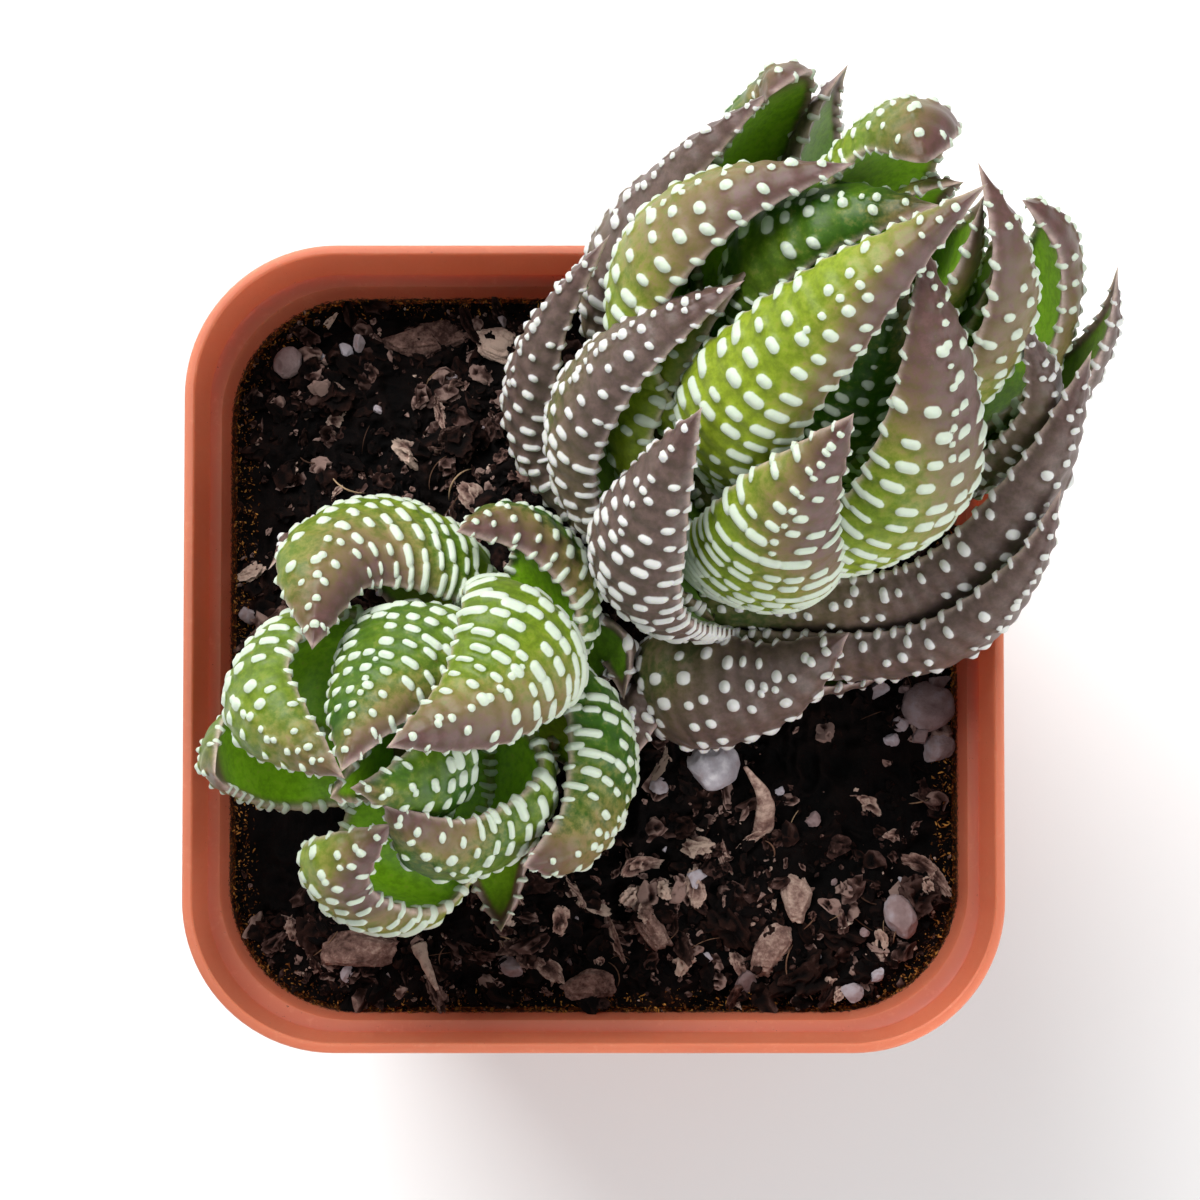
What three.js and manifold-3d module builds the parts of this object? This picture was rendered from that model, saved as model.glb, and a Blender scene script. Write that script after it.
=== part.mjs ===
// A potted haworthia: two leaning stems packed with keeled leaves, in a square pot of thin plastic.
// Millimetres, +Z up. The origin is the middle of the pot's underside, and -Y is the near side.
import * as THREE from 'three';
import { mergeVertices } from 'three/addons/utils/BufferGeometryUtils.js';
import Module from 'manifold-3d';

// Pot. Half-widths are measured from the middle to the flat sides.
const RIM_WIDTH = 70;
const RIM_DEPTH = 69;
const POT_HEIGHT = 62;
const CORNER_RADIUS = 13;
const BASE_CORNER_RADIUS = 8;
const BASE_HALF = 25.4;
const WALL = 0.9;
const EDGE = 0.5; // how far moulded edges are eased
const FLOOR_THICKNESS = 1.6;
const COLLAR_HEIGHT = 12;
const COLLAR_STEP = 1.4;
const COLLAR_DRAFT = 1; // how much wider the collar is at the lip than at its foot
const LEDGE_HEIGHT = 54.2;
const LEDGE_WIDTH = 1.1;
const DRAIN_RADIUS = 3;
const DRAIN_OFFSET = 15.5;
const SLOT_LENGTH = 11;
const SLOT_WIDTH = 3.6;
const SLOT_OFFSET = 19.5;
const GROOVE_WIDTH = 7;
const GROOVE_DEPTH = 0.8;

// Soil
const GAP = 0.3; // between neighbours
const SOIL_EDGE = 49.6; // height of the soil where it meets the wall
const SOIL_CROWN = 3.1; // how much higher the middle lies
const SOIL_BUMP = 0.55;
const SOIL_RINGS = [0.9, 0.74, 0.56, 0.38, 0.2]; // shares of the way from the middle to the wall

// Stems
const STEM_THINNING = 0.45; // share of the radius that is lost towards the growing point
const ROOT_SHARE = 0.6; // radius of the buried end, as a share
const ROOT_SLANT = 0.4; // sideways run of the buried end, as a share of its depth

// Leaves, as shares of the half-width or of the way along the middle line
const WIDEST_AT = 0.34;
const FOOT_WIDTH = 0.72;
const KEEL_FOOT = 0.62;
const KEEL_TIP = 0.87;
const HOLLOW = 0.14;
const LAST_RING = 0.97;

const STONE_SEAT = 0.22; // how high a stone's middle lies above the soil, as a share of its height

// Meshing
const CORNER_STEPS = 6;
const HOLE_SIDES = 16;
const STEM_SIDES = 10;
const STEM_STEPS = 7;
const LEAF_RINGS = 8;
const SLIVER_SIDES = 4;

// The view from above in which the plant's points were read: picture points in a square of 1200,
// and a pinhole held over the pot, leaning towards the near side.
const VIEW = {
  middle: 600,
  scale: 11.73, // picture points per millimetre at the rim
  distance: 400,
  lean: THREE.MathUtils.degToRad(3.6),
  aim: new THREE.Vector3(0.55, 4, POT_HEIGHT),
};

// Stems: the axis runs from where the stem leaves the soil to its growing point.
const MAIN = { foot: [670, 675, 53], top: [875, 290, 82], radius: 3.4, buried: 13 };
const OFFSET = { foot: [520, 660, 52.5], top: [400, 755, 72], radius: 3, buried: 12 };

// Leaves, the innermost first. from: where on the stem's axis the leaf springs, 0 at the foot.
// low, high and tip: points on its middle line, each a picture point and a height in mm.
// wide: full width in mm. roll: turn about that line, in degrees. blunt: 0 tapers to a point, 1 is rounded.
const MAIN_LEAVES = [
  { from: 0.8, low: [885, 250, 83], high: [925, 200, 89], tip: [964, 182, 94], wide: 8 },
  { from: 0.72, low: [775, 265, 80], high: [835, 222, 87], tip: [940, 205, 92], wide: 12 },
  { from: 0.72, low: [852, 240, 80], high: [911, 140, 90], tip: [926, 163, 95], wide: 11.5, blunt: 1 },
  { from: 0.68, low: [905, 305, 79], high: [955, 250, 88], tip: [984, 195, 93], wide: 11 },
  { from: 0.48, low: [740, 415, 82], high: [840, 305, 92], tip: [988, 183, 98], wide: 11 },
  { from: 0.52, low: [668, 290, 78], high: [738, 204, 87], tip: [856, 163, 91], wide: 14.5 },
  { from: 0.56, low: [958, 350, 79], high: [1002, 252, 90], tip: [978, 162, 94], wide: 13 },
  { from: 0.45, low: [840, 420, 77], high: [875, 335, 86], tip: [912, 252, 92], wide: 10 },
  { tone: 'brown', from: 0.6, low: [815, 170, 73], high: [826, 112, 78], tip: [848, 64, 82], wide: 10,
    roll: 25 },
  { from: 0.54, low: [740, 205, 73], high: [785, 92, 83], tip: [770, 96, 87], wide: 10, blunt: 1 },
  { from: 0.36, low: [650, 420, 72], high: [690, 340, 79.5], tip: [752, 266, 85], wide: 11 },
  { from: 0.5, low: [1010, 345, 72], high: [1048, 240, 80], tip: [1022, 200, 85], wide: 11, blunt: 0.5 },
  { tone: 'brown', from: 0.4, low: [625, 300, 68], high: [684, 178, 79], tip: [775, 88, 86], wide: 11,
    roll: 35 },
  { from: 0.34, low: [898, 488, 78], high: [931, 382, 88], tip: [923, 238, 95], wide: 13.5 },
  { tone: 'brown', from: 0.24, low: [598, 450, 70], high: [632, 360, 80.5], tip: [745, 280, 89], wide: 12 },
  { tone: 'brown', from: 0.36, low: [990, 450, 71], high: [1040, 395, 78], tip: [1022, 319, 85], wide: 9,
    roll: -40 },
  { tone: 'brown', from: 0.42, low: [1040, 400, 70], high: [1098, 335, 76], tip: [1118, 266, 82], wide: 9 },
  { from: 0.3, low: [768, 545, 75], high: [788, 500, 83], tip: [854, 413, 92], wide: 12.5 },
  { tone: 'brown', from: 0.2, low: [645, 565, 71], high: [660, 500, 79], tip: [702, 407, 88], wide: 11 },
  { tone: 'brown', from: 0.2, low: [548, 440, 61], high: [553, 335, 71], tip: [610, 234, 79], wide: 9,
    roll: 40 },
  { tone: 'brown', from: 0.2, low: [935, 575, 64], high: [1035, 475, 74], tip: [1092, 350, 83], wide: 11,
    roll: -50 },
  { tone: 'brown', from: 0.1, low: [930, 635, 62.5], high: [1028, 560, 72], tip: [1062, 487, 77], wide: 9,
    roll: -50 },
  { tone: 'brown', from: -0.05, low: [690, 690, 57.5], high: [775, 680, 61], tip: [850, 632, 65], wide: 10.5,
    roll: -60 },
  { tone: 'brown', from: 0, low: [800, 675, 55.5], high: [860, 675, 56], tip: [908, 664, 57], wide: 6 },
  { from: 0.5, low: [925, 350, 76], high: [980, 280, 84], tip: [1006, 215, 89], wide: 9 },
  { tone: 'brown', from: -0.03, low: [643, 702, 56], high: [641, 730, 56.6], tip: [636, 757, 57], wide: 5 },
];
const OFFSET_LEAVES = [
  { from: 0.86, low: [375, 770, 75], high: [345, 790, 78], tip: [330, 798, 80], wide: 6 },
  { from: 0.8, low: [440, 765, 73], high: [395, 785, 78], tip: [350, 788, 81], wide: 8 },
  { from: 0.7, low: [425, 655, 70], high: [378, 700, 77], tip: [341, 772, 83], wide: 12 },
  { from: 0.7, low: [320, 670, 67], high: [270, 705, 74], tip: [345, 779, 81], wide: 12.5 },
  { from: 0.5, low: [518, 645, 71], high: [474, 706, 78], tip: [386, 748, 83], wide: 12.5 },
  { from: 0.6, low: [495, 800, 67], high: [440, 838, 73], tip: [383, 804, 79], wide: 12 },
  { from: 0.62, low: [395, 870, 63], high: [340, 866, 72], tip: [394, 822, 77], wide: 12.5 },
  { from: 0.4, low: [430, 582, 62], high: [330, 568, 71], tip: [312, 650, 78], wide: 15, roll: -40 },
  { from: 0.6, low: [300, 750, 61.5], high: [240, 754, 66], tip: [215, 775, 72], wide: 10.5, blunt: 0.6 },
  { from: 0.35, low: [570, 735, 62], high: [568, 832, 68], tip: [522, 867, 73], wide: 14, roll: 20 },
  { from: 0.25, low: [545, 590, 60], high: [508, 535, 66], tip: [456, 532, 71], wide: 12 },
  { tone: 'brown', from: 0.2, low: [380, 555, 57], high: [305, 540, 62], tip: [268, 570, 67], wide: 7 },
  { from: 0.1, low: [495, 850, 56], high: [500, 900, 56.5], tip: [501, 932, 59], wide: 10 },
  { tone: 'brown', from: 0.05, low: [585, 650, 56], high: [612, 650, 58], tip: [624, 700, 58], wide: 7 },
];

// Loose things on the soil: where each lies in the view, its three sizes in mm and its turns in degrees.
const STONES = [
  { name: 'perlite_big', at: [925, 707], size: [5.2, 4.2, 2.8], turn: 20, tint: 'perlite' },
  { name: 'perlite_middle', at: [712, 766], size: [4.6, 4.3, 3], turn: -15, tint: 'perlite' },
  { name: 'perlite_right', at: [938, 748], size: [3, 2.6, 2], turn: 40, tint: 'perlite' },
  { name: 'perlite_low', at: [900, 916], size: [4, 2.6, 2.2], turn: 115, tint: 'perlite' },
  { name: 'perlite_corner', at: [288, 363], size: [2.8, 2.4, 2], turn: 70, tint: 'perlite' },
  { name: 'bark_chip_left', at: [425, 341], size: [8.5, 4.2, 2.2], turn: 15, tint: 'bark' },
  { name: 'bark_chip_pale', at: [497, 345], size: [4.6, 3, 1.8], turn: -25, tint: 'bark' },
  { name: 'bark_chip_front', at: [362, 950], size: [7, 4, 2.2], turn: 10, tint: 'bark' },
  { name: 'bark_chip_right', at: [796, 894], size: [4.6, 2.8, 1.8], turn: -78, tint: 'bark' },
  { name: 'bark_chip_near', at: [771, 949], size: [4.8, 2.8, 1.8], turn: 66, tint: 'bark' },
  { name: 'bark_chip_middle', at: [650, 920], size: [5.2, 2.4, 1.8], turn: -62, tint: 'bark' },
  { name: 'bark_chip_back', at: [591, 985], size: [4.6, 3, 1.8], turn: 0, tint: 'bark' },
];

// Dry slivers: foot and tip as picture points with heights, and the foot's radius in mm.
const SLIVERS = [
  { name: 'dry_spike', foot: [763, 832, 52.5], tip: [745, 767, 57.5], radius: 1.1, tint: 'bark' },
  { name: 'bark_splinter', foot: [288, 613, 51.4], tip: [234, 652, 54.6], radius: 0.9, tint: 'bark' },
  { name: 'fallen_twig', foot: [418, 945, 51.2], tip: [437, 990, 53], radius: 0.6, tint: 'bark' },
];
const SLIVER_TIP = 0.25; // radius at the tip

const COLOURS = {
  pot: '#c4744f',
  soil: '#3a2a22',
  stem: '#6f6a3c',
  green: '#7d9440',
  brown: '#6b5a4c',
  perlite: '#cfc3b6',
  bark: '#7a5444',
};

const wasm = await Module();
wasm.setup();

/** A dull look in one of the part's colours. */
function material(name, roughness) {
  return new THREE.MeshStandardMaterial({ color: COLOURS[name], roughness, metalness: 0 });
}

/** The point at height z that the view shows at picture point (u, v). */
function seen([u, v, z]) {
  const away = new THREE.Vector3(0, Math.sin(VIEW.lean), -Math.cos(VIEW.lean));
  const up = new THREE.Vector3(0, Math.cos(VIEW.lean), Math.sin(VIEW.lean));
  const eye = VIEW.aim.clone().addScaledVector(away, -VIEW.distance);
  const ray = away.clone().multiplyScalar(VIEW.distance * VIEW.scale);
  ray.x += u - VIEW.middle;
  ray.addScaledVector(up, VIEW.middle - v);
  return eye.addScaledVector(ray, (z - eye.z) / ray.z);
}

/** A closed body through rings of equal length, with a fan over each end. */
function loft(rings) {
  const sides = rings[0].length;
  const points = rings.flat();
  const faces = [];
  for (let ring = 0; ring + 1 < rings.length; ring += 1) {
    for (let side = 0; side < sides; side += 1) {
      const a = ring * sides + side;
      const b = ring * sides + ((side + 1) % sides);
      faces.push(a, b, b + sides, a, b + sides, a + sides);
    }
  }
  const last = (rings.length - 1) * sides;
  const middleOf = (ring) => ring.reduce((sum, p) => sum.add(p), new THREE.Vector3()).divideScalar(sides);
  const foot = points.push(middleOf(rings[0])) - 1;
  const head = points.push(middleOf(rings.at(-1))) - 1;
  for (let side = 0; side < sides; side += 1) {
    const next = (side + 1) % sides;
    faces.push(foot, next, side, head, last + side, last + next);
  }
  const geometry = new THREE.BufferGeometry();
  const numbers = points.flatMap((p) => p.toArray());
  geometry.setAttribute('position', new THREE.Float32BufferAttribute(numbers, 3));
  geometry.setIndex(faces);
  return geometry;
}

/** A solid that can be joined and cut, from a closed geometry. */
function solid(geometry) {
  geometry.deleteAttribute('normal');
  geometry.deleteAttribute('uv');
  const merged = mergeVertices(geometry);
  return new wasm.Manifold(new wasm.Mesh({
    numProp: 3,
    vertProperties: new Float32Array(merged.attributes.position.array),
    triVerts: new Uint32Array(merged.index.array),
  }));
}

/** The largest body of a solid that a cut may have split. */
function largest(body) {
  return body.decompose().sort((a, b) => b.volume() - a.volume())[0];
}

/** A solid's surface. */
function geometryOf(body) {
  const mesh = body.getMesh();
  const geometry = new THREE.BufferGeometry();
  geometry.setAttribute('position', new THREE.BufferAttribute(mesh.vertProperties.slice(), 3));
  geometry.setIndex(Array.from(mesh.triVerts));
  geometry.computeVertexNormals();
  return geometry;
}

/** A solid as a named piece of the plant. */
function meshOf(name, body, look) {
  const mesh = new THREE.Mesh(geometryOf(body), look);
  mesh.name = name;
  return mesh;
}

/** A level ring with rounded corners, seen from above anticlockwise. */
function squareRing(half, radius, z) {
  const deep = half - (RIM_WIDTH - RIM_DEPTH) / 2;
  const ring = [];
  for (let corner = 0; corner < 4; corner += 1) {
    const sideX = corner === 0 || corner === 3 ? 1 : -1;
    const sideY = corner < 2 ? 1 : -1;
    for (let step = 0; step <= CORNER_STEPS; step += 1) {
      const angle = (corner + step / CORNER_STEPS) * Math.PI / 2;
      const x = sideX * (half - radius) + radius * Math.cos(angle);
      const y = sideY * (deep - radius) + radius * Math.sin(angle);
      ring.push(new THREE.Vector3(x, y, z));
    }
  }
  return ring;
}

/** Half-width of the pot's outer wall below the collar, at a height. */
function wallHalf(z) {
  const collarFoot = RIM_WIDTH / 2 - COLLAR_DRAFT - COLLAR_STEP;
  return THREE.MathUtils.mapLinear(z, 0, POT_HEIGHT - COLLAR_HEIGHT, BASE_HALF, collarFoot);
}

/** Corner radius of the pot's outside at a height. */
function cornerAt(z) {
  return THREE.MathUtils.mapLinear(z, 0, POT_HEIGHT, BASE_CORNER_RADIUS, CORNER_RADIUS);
}

/** The pot, from profile rows of half-width, height and how far the row lies inside the outer wall. */
function potSolid() {
  const lip = RIM_WIDTH / 2;
  const collarZ = POT_HEIGHT - COLLAR_HEIGHT;
  const profile = [
    [BASE_HALF - EDGE, 0, 0],
    [wallHalf(EDGE), EDGE, 0],
    [wallHalf(collarZ - EDGE), collarZ - EDGE, 0],
    [wallHalf(collarZ) + COLLAR_STEP, collarZ, 0],
    [lip, POT_HEIGHT - EDGE, 0],
    [lip - EDGE / 2, POT_HEIGHT, 0],
    [lip - WALL + EDGE / 4, POT_HEIGHT, WALL],
    [lip - WALL, POT_HEIGHT - EDGE, WALL],
    [wallHalf(LEDGE_HEIGHT) - WALL + LEDGE_WIDTH, LEDGE_HEIGHT + EDGE, WALL],
    [wallHalf(LEDGE_HEIGHT) - WALL, LEDGE_HEIGHT, WALL],
    [wallHalf(FLOOR_THICKNESS) - WALL, FLOOR_THICKNESS, WALL],
  ];
  let pot = solid(loft(profile.map(([half, z, inset]) => squareRing(half, cornerAt(z) - inset, z))));
  for (const cutter of drainCutters()) pot = pot.subtract(solid(cutter));
  return pot;
}

/** Four round holes near the corners, four slots, and a shallow groove under each slot. */
function drainCutters() {
  const cutters = [];
  const through = FLOOR_THICKNESS + 2;
  for (let side = 0; side < 4; side += 1) {
    const angle = side * Math.PI / 2;
    const hole = new THREE.CylinderGeometry(DRAIN_RADIUS, DRAIN_RADIUS, through, HOLE_SIDES);
    hole.rotateX(Math.PI / 2).translate(DRAIN_OFFSET, DRAIN_OFFSET, FLOOR_THICKNESS / 2);
    const slot = new THREE.BoxGeometry(SLOT_WIDTH, SLOT_LENGTH, through);
    slot.translate(SLOT_OFFSET, 0, FLOOR_THICKNESS / 2);
    const groove = new THREE.BoxGeometry(BASE_HALF, GROOVE_WIDTH, GROOVE_DEPTH * 2);
    groove.translate(SLOT_OFFSET + BASE_HALF / 2, 0, 0);
    cutters.push(hole.rotateZ(angle), slot.rotateZ(angle), groove.rotateZ(angle));
  }
  return cutters;
}

/** A ring of points round a middle, in the plane of x and y. */
function circle(at, x, y, radius, sides) {
  return Array.from({ length: sides }, (_, i) => {
    const angle = i / sides * Math.PI * 2;
    return at.clone()
      .addScaledVector(x, radius * Math.cos(angle))
      .addScaledVector(y, radius * Math.sin(angle));
  });
}

/** Height of the soil's surface: crowned, with shallow lumps that die out at the wall. */
function soilHeight(x, y) {
  const reach = Math.max(Math.abs(x), Math.abs(y)) / (RIM_WIDTH / 2);
  const lumps = Math.sin(x * 0.42 + 1.3) * Math.cos(y * 0.37 - 0.6) + 0.6 * Math.sin(x * 0.83 - y * 0.71);
  return SOIL_EDGE + SOIL_CROWN * (1 - reach * reach) + SOIL_BUMP * lumps * (1 - reach ** 6);
}

/** The soil, which fills the pot up to a rough top. */
function soilSolid() {
  const ringAt = (z) => squareRing(wallHalf(z) - WALL - GAP, cornerAt(z) - WALL - GAP, z);
  const rings = [ringAt(FLOOR_THICKNESS + GAP), ringAt(SOIL_EDGE)];
  for (const share of SOIL_RINGS) {
    const inner = rings[1].map((p) => p.clone().multiplyScalar(share));
    rings.push(inner.map((p) => p.setZ(soilHeight(p.x, p.y))));
  }
  return solid(loft(rings));
}

/** A stem: its axis as a straight line from foot to top, and its body from under the soil to the top. */
function stemOf({ foot, top, radius, buried }) {
  const start = seen(foot);
  const end = seen(top);
  const along = end.clone().sub(start).normalize();
  const root = start.clone().addScaledVector(along, -buried * ROOT_SLANT).setZ(start.z - buried);
  const curve = new THREE.CatmullRomCurve3([root, start, start.clone().lerp(end, 0.5), end]);
  const body = (grow) => {
    const rings = [];
    const side = new THREE.Vector3(1, 0, 0);
    for (let step = 0; step <= STEM_STEPS; step += 1) {
      const t = step / STEM_STEPS;
      const at = curve.getPoint(t);
      const way = curve.getTangent(t);
      const x = side.clone().addScaledVector(way, -side.dot(way)).normalize();
      const y = way.clone().cross(x);
      const share = (1 - STEM_THINNING * t) * (step === 0 ? ROOT_SHARE : 1);
      rings.push(circle(at, x, y, radius * share + grow, STEM_SIDES));
    }
    return solid(loft(rings));
  };
  return { start, end, along, body };
}

/** Width of a leaf along its middle line, as a share of its greatest width. */
function widthAt(t, blunt) {
  if (t < WIDEST_AT) return THREE.MathUtils.lerp(FOOT_WIDTH, 1, Math.sin(t / WIDEST_AT * Math.PI / 2));
  const beyond = (t - WIDEST_AT) / (1 - WIDEST_AT);
  return (1 - beyond ** (1.55 + 1.45 * blunt)) ** (1.05 - 0.3 * blunt);
}

/** A keeled leaf. grow makes it larger all round, to cut the gap that its neighbours keep. */
function leafSolid(stem, leaf, grow) {
  const springs = stem.start.clone().lerp(stem.end, leaf.from);
  const line = new THREE.CatmullRomCurve3([springs, seen(leaf.low), seen(leaf.high), seen(leaf.tip)]);
  const steps = Array.from({ length: LEAF_RINGS }, (_, i) => LAST_RING * (i / (LEAF_RINGS - 1)) ** 0.9);
  const frames = steps.map((t) => ({ t, at: line.getPointAt(t), way: line.getTangentAt(t) }));
  const middle = Math.floor(LEAF_RINGS / 2);
  const inward = (frame) => {
    const height = frame.at.clone().sub(stem.start).dot(stem.along);
    return stem.start.clone().addScaledVector(stem.along, height).sub(frame.at);
  };
  const across = (vector, way) => vector.clone().addScaledVector(way, -vector.dot(way)).normalize();
  frames[middle].face = across(inward(frames[middle]), frames[middle].way);
  for (let i = middle + 1; i < LEAF_RINGS; i += 1) frames[i].face = across(frames[i - 1].face, frames[i].way);
  for (let i = middle - 1; i >= 0; i -= 1) frames[i].face = across(frames[i + 1].face, frames[i].way);
  const rings = frames.map(({ t, at, way, face }) => {
    const turned = face.clone().applyAxisAngle(way, THREE.MathUtils.degToRad(leaf.roll ?? 0));
    const side = way.clone().cross(turned);
    const half = leaf.wide / 2 * widthAt(t, leaf.blunt ?? 0) + grow;
    const keel = half * THREE.MathUtils.lerp(KEEL_FOOT, KEEL_TIP, t);
    const hollow = half * HOLLOW - grow;
    // Clockwise from one edge over the hollow face to the other edge, then round the keel.
    const section = [
      [-half, -grow],
      [0, hollow],
      [half, -grow],
      [half * 0.86, keel * 0.5],
      [half * 0.46, keel * 0.86],
      [0, keel],
      [-half * 0.46, keel * 0.86],
      [-half * 0.86, keel * 0.5],
    ];
    return section.map(([x, y]) => at.clone().addScaledVector(side, x).addScaledVector(turned, -y));
  });
  rings[0].forEach((point) => point.addScaledVector(frames[0].way, -grow));
  rings.push(rings[0].map(() => seen(leaf.tip).addScaledVector(frames.at(-1).way, grow)));
  return solid(loft(rings));
}

/** A lumpy stone, or a boxier chip of bark, half sunk in the soil. */
function looseSolid({ at, size, turn, tint }, grow) {
  const shape = new THREE.IcosahedronGeometry(0.5, 1);
  const position = shape.attributes.position;
  const full = new THREE.Vector3(...size).addScalar(2 * grow);
  const boxy = (value, power) => Math.sign(value) * Math.abs(value * 2) ** power / 2;
  for (let i = 0; i < position.count; i += 1) {
    const p = new THREE.Vector3().fromBufferAttribute(position, i);
    const waves = 0.09 * Math.sin(p.x * 9 + turn) + 0.08 * Math.cos(p.y * 11 - turn)
      + 0.05 * Math.sin(p.z * 13);
    if (tint === 'bark') p.set(boxy(p.x, 0.7), p.y, boxy(p.z, 0.6));
    p.multiplyScalar(1 + waves).multiply(full);
    position.setXYZ(i, p.x, p.y, p.z);
  }
  const on = seen([...at, SOIL_EDGE + 1]);
  shape.rotateZ(THREE.MathUtils.degToRad(turn));
  shape.translate(on.x, on.y, soilHeight(on.x, on.y) + size[2] * STONE_SEAT);
  return solid(shape);
}

/** A four-sided sliver of bark or dry leaf, thinning towards its tip. */
function sliverSolid({ foot, tip, radius }, grow) {
  const start = seen(foot);
  const end = seen(tip);
  const way = end.clone().sub(start).normalize();
  const side = new THREE.Vector3(0, 0, 1).cross(way).normalize();
  const up = way.clone().cross(side);
  start.addScaledVector(way, -grow);
  end.addScaledVector(way, grow);
  return solid(loft([
    circle(start, side, up, radius + grow, SLIVER_SIDES),
    circle(end, side, up, SLIVER_TIP + grow, SLIVER_SIDES),
  ]));
}

/** The whole plant: each piece gives way to those that were placed before it. */
function build() {
  const group = new THREE.Group();
  const main = stemOf(MAIN);
  const offset = stemOf(OFFSET);
  let soil = soilSolid();
  const loose = [
    ...STONES.map((stone) => ({ ...stone, body: looseSolid(stone, 0), room: looseSolid(stone, GAP) })),
    ...SLIVERS.map((one) => ({ ...one, body: sliverSolid(one, 0), room: sliverSolid(one, GAP) })),
  ];
  soil = soil.subtract(main.body(GAP)).subtract(offset.body(GAP));
  for (const stone of loose) soil = soil.subtract(stone.room);
  const kept = [main.body(GAP), offset.body(GAP), soilSolid().translate(0, 0, GAP)];
  kept.push(...loose.map((stone) => stone.room));
  group.add(meshOf('pot', potSolid(), material('pot', 0.55)));
  group.add(meshOf('soil', largest(soil), material('soil', 0.95)));
  group.add(meshOf('main_stem', main.body(0), material('stem', 0.7)));
  group.add(meshOf('offset_stem', offset.body(0), material('stem', 0.7)));
  for (const [family, stem, leaves] of [['main', main, MAIN_LEAVES], ['offset', offset, OFFSET_LEAVES]]) {
    leaves.forEach((leaf, index) => {
      let body = leafSolid(stem, leaf, 0);
      for (const other of kept) body = body.subtract(other);
      const name = `${family}_leaf_${String(index + 1).padStart(2, '0')}`;
      group.add(meshOf(name, largest(body), material(leaf.tone ?? 'green', 0.5)));
      kept.push(leafSolid(stem, leaf, GAP));
    });
  }
  for (const stone of loose) group.add(meshOf(stone.name, stone.body, material(stone.tint, 0.9)));
  return group;
}

export default build();
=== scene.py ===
"""A potted haworthia: two leaning stems of white-spotted leaves in a square pot of thin plastic.

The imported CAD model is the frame. Sizes here are in millimetres, and MM turns them to metres where a
mesh is made. +Z is up and the origin is the middle of the pot's underside.
"""

import logging
import math
from collections.abc import Callable
from dataclasses import dataclass, replace
from enum import Enum
from functools import partial

import bpy
import numpy as np
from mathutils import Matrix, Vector


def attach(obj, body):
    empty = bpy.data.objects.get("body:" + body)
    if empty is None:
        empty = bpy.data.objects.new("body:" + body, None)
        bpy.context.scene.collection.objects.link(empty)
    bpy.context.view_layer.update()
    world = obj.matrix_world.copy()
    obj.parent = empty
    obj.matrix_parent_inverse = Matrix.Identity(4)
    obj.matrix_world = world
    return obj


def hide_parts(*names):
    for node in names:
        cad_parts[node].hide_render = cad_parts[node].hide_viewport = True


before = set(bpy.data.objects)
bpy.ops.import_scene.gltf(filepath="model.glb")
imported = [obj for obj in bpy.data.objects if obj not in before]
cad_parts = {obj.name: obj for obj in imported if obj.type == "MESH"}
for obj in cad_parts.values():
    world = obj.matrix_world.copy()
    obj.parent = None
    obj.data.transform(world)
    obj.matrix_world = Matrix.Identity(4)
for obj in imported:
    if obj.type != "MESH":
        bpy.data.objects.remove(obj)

LOG = logging.getLogger("haworthia")
MM = 0.001

Point = tuple[float, float, float]
Pair = tuple[float, float]
Faces = list[np.ndarray]
Values = dict[str, np.ndarray]
Piece = bpy.types.Object
Socket = bpy.types.NodeSocket
Paint = tuple[dict, dict]


# ---------------------------------------------------------------- numbers


def smooth(low: float, high: float, value: np.ndarray) -> np.ndarray:
    """A share from 0 to 1 that eases in at low and out at high."""
    share = np.clip((value - low) / (high - low), 0, 1)
    return share * share * (3 - 2 * share)


def unit(vectors: np.ndarray) -> np.ndarray:
    """The vectors at length 1."""
    return vectors / np.maximum(np.linalg.norm(vectors, axis=-1, keepdims=True), 1e-9)


def lattice(cells: np.ndarray, seed: int) -> np.ndarray:
    """Repeatable random numbers.

    Args:
        cells: Whole-number cells, three to a row.
        seed: Chooses the numbers.

    Returns:
        A number from -1 to 1 for each cell.
    """
    mixed = cells[..., 0] * 73856093 ^ cells[..., 1] * 19349663 ^ cells[..., 2] * 83492791 ^ seed * 97711
    mixed = (mixed ^ mixed >> 13) * 1274126177 & 0x7FFFFFFF
    mixed = (mixed ^ mixed >> 15) * 668265263 & 0x7FFFFFFF
    return mixed / 0x3FFFFFFF - 1


def rough(points: np.ndarray, grain: float, seed: int, octaves: int = 1) -> np.ndarray:
    """Smooth random relief.

    Args:
        points: Places in millimetres, three to a row.
        grain: Size of the largest lumps, in millimetres.
        seed: Chooses the pattern.
        octaves: How many finer patterns are added, each half as large and half as high.

    Returns:
        A number for each point, mostly from -1 to 1.
    """
    total = np.zeros(points.shape[:-1])
    for octave in range(octaves):
        place = points * 2**octave / grain
        cell = np.floor(place).astype(np.int64)
        part = place - cell
        part = part * part * (3 - 2 * part)
        for corner in np.ndindex(2, 2, 2):
            near = np.where(np.array(corner) == 1, part, 1 - part).prod(axis=-1)
            total += near * lattice(cell + corner, seed + octave) / 2**octave
    return total


# ---------------------------------------------------------------- meshes


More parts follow.
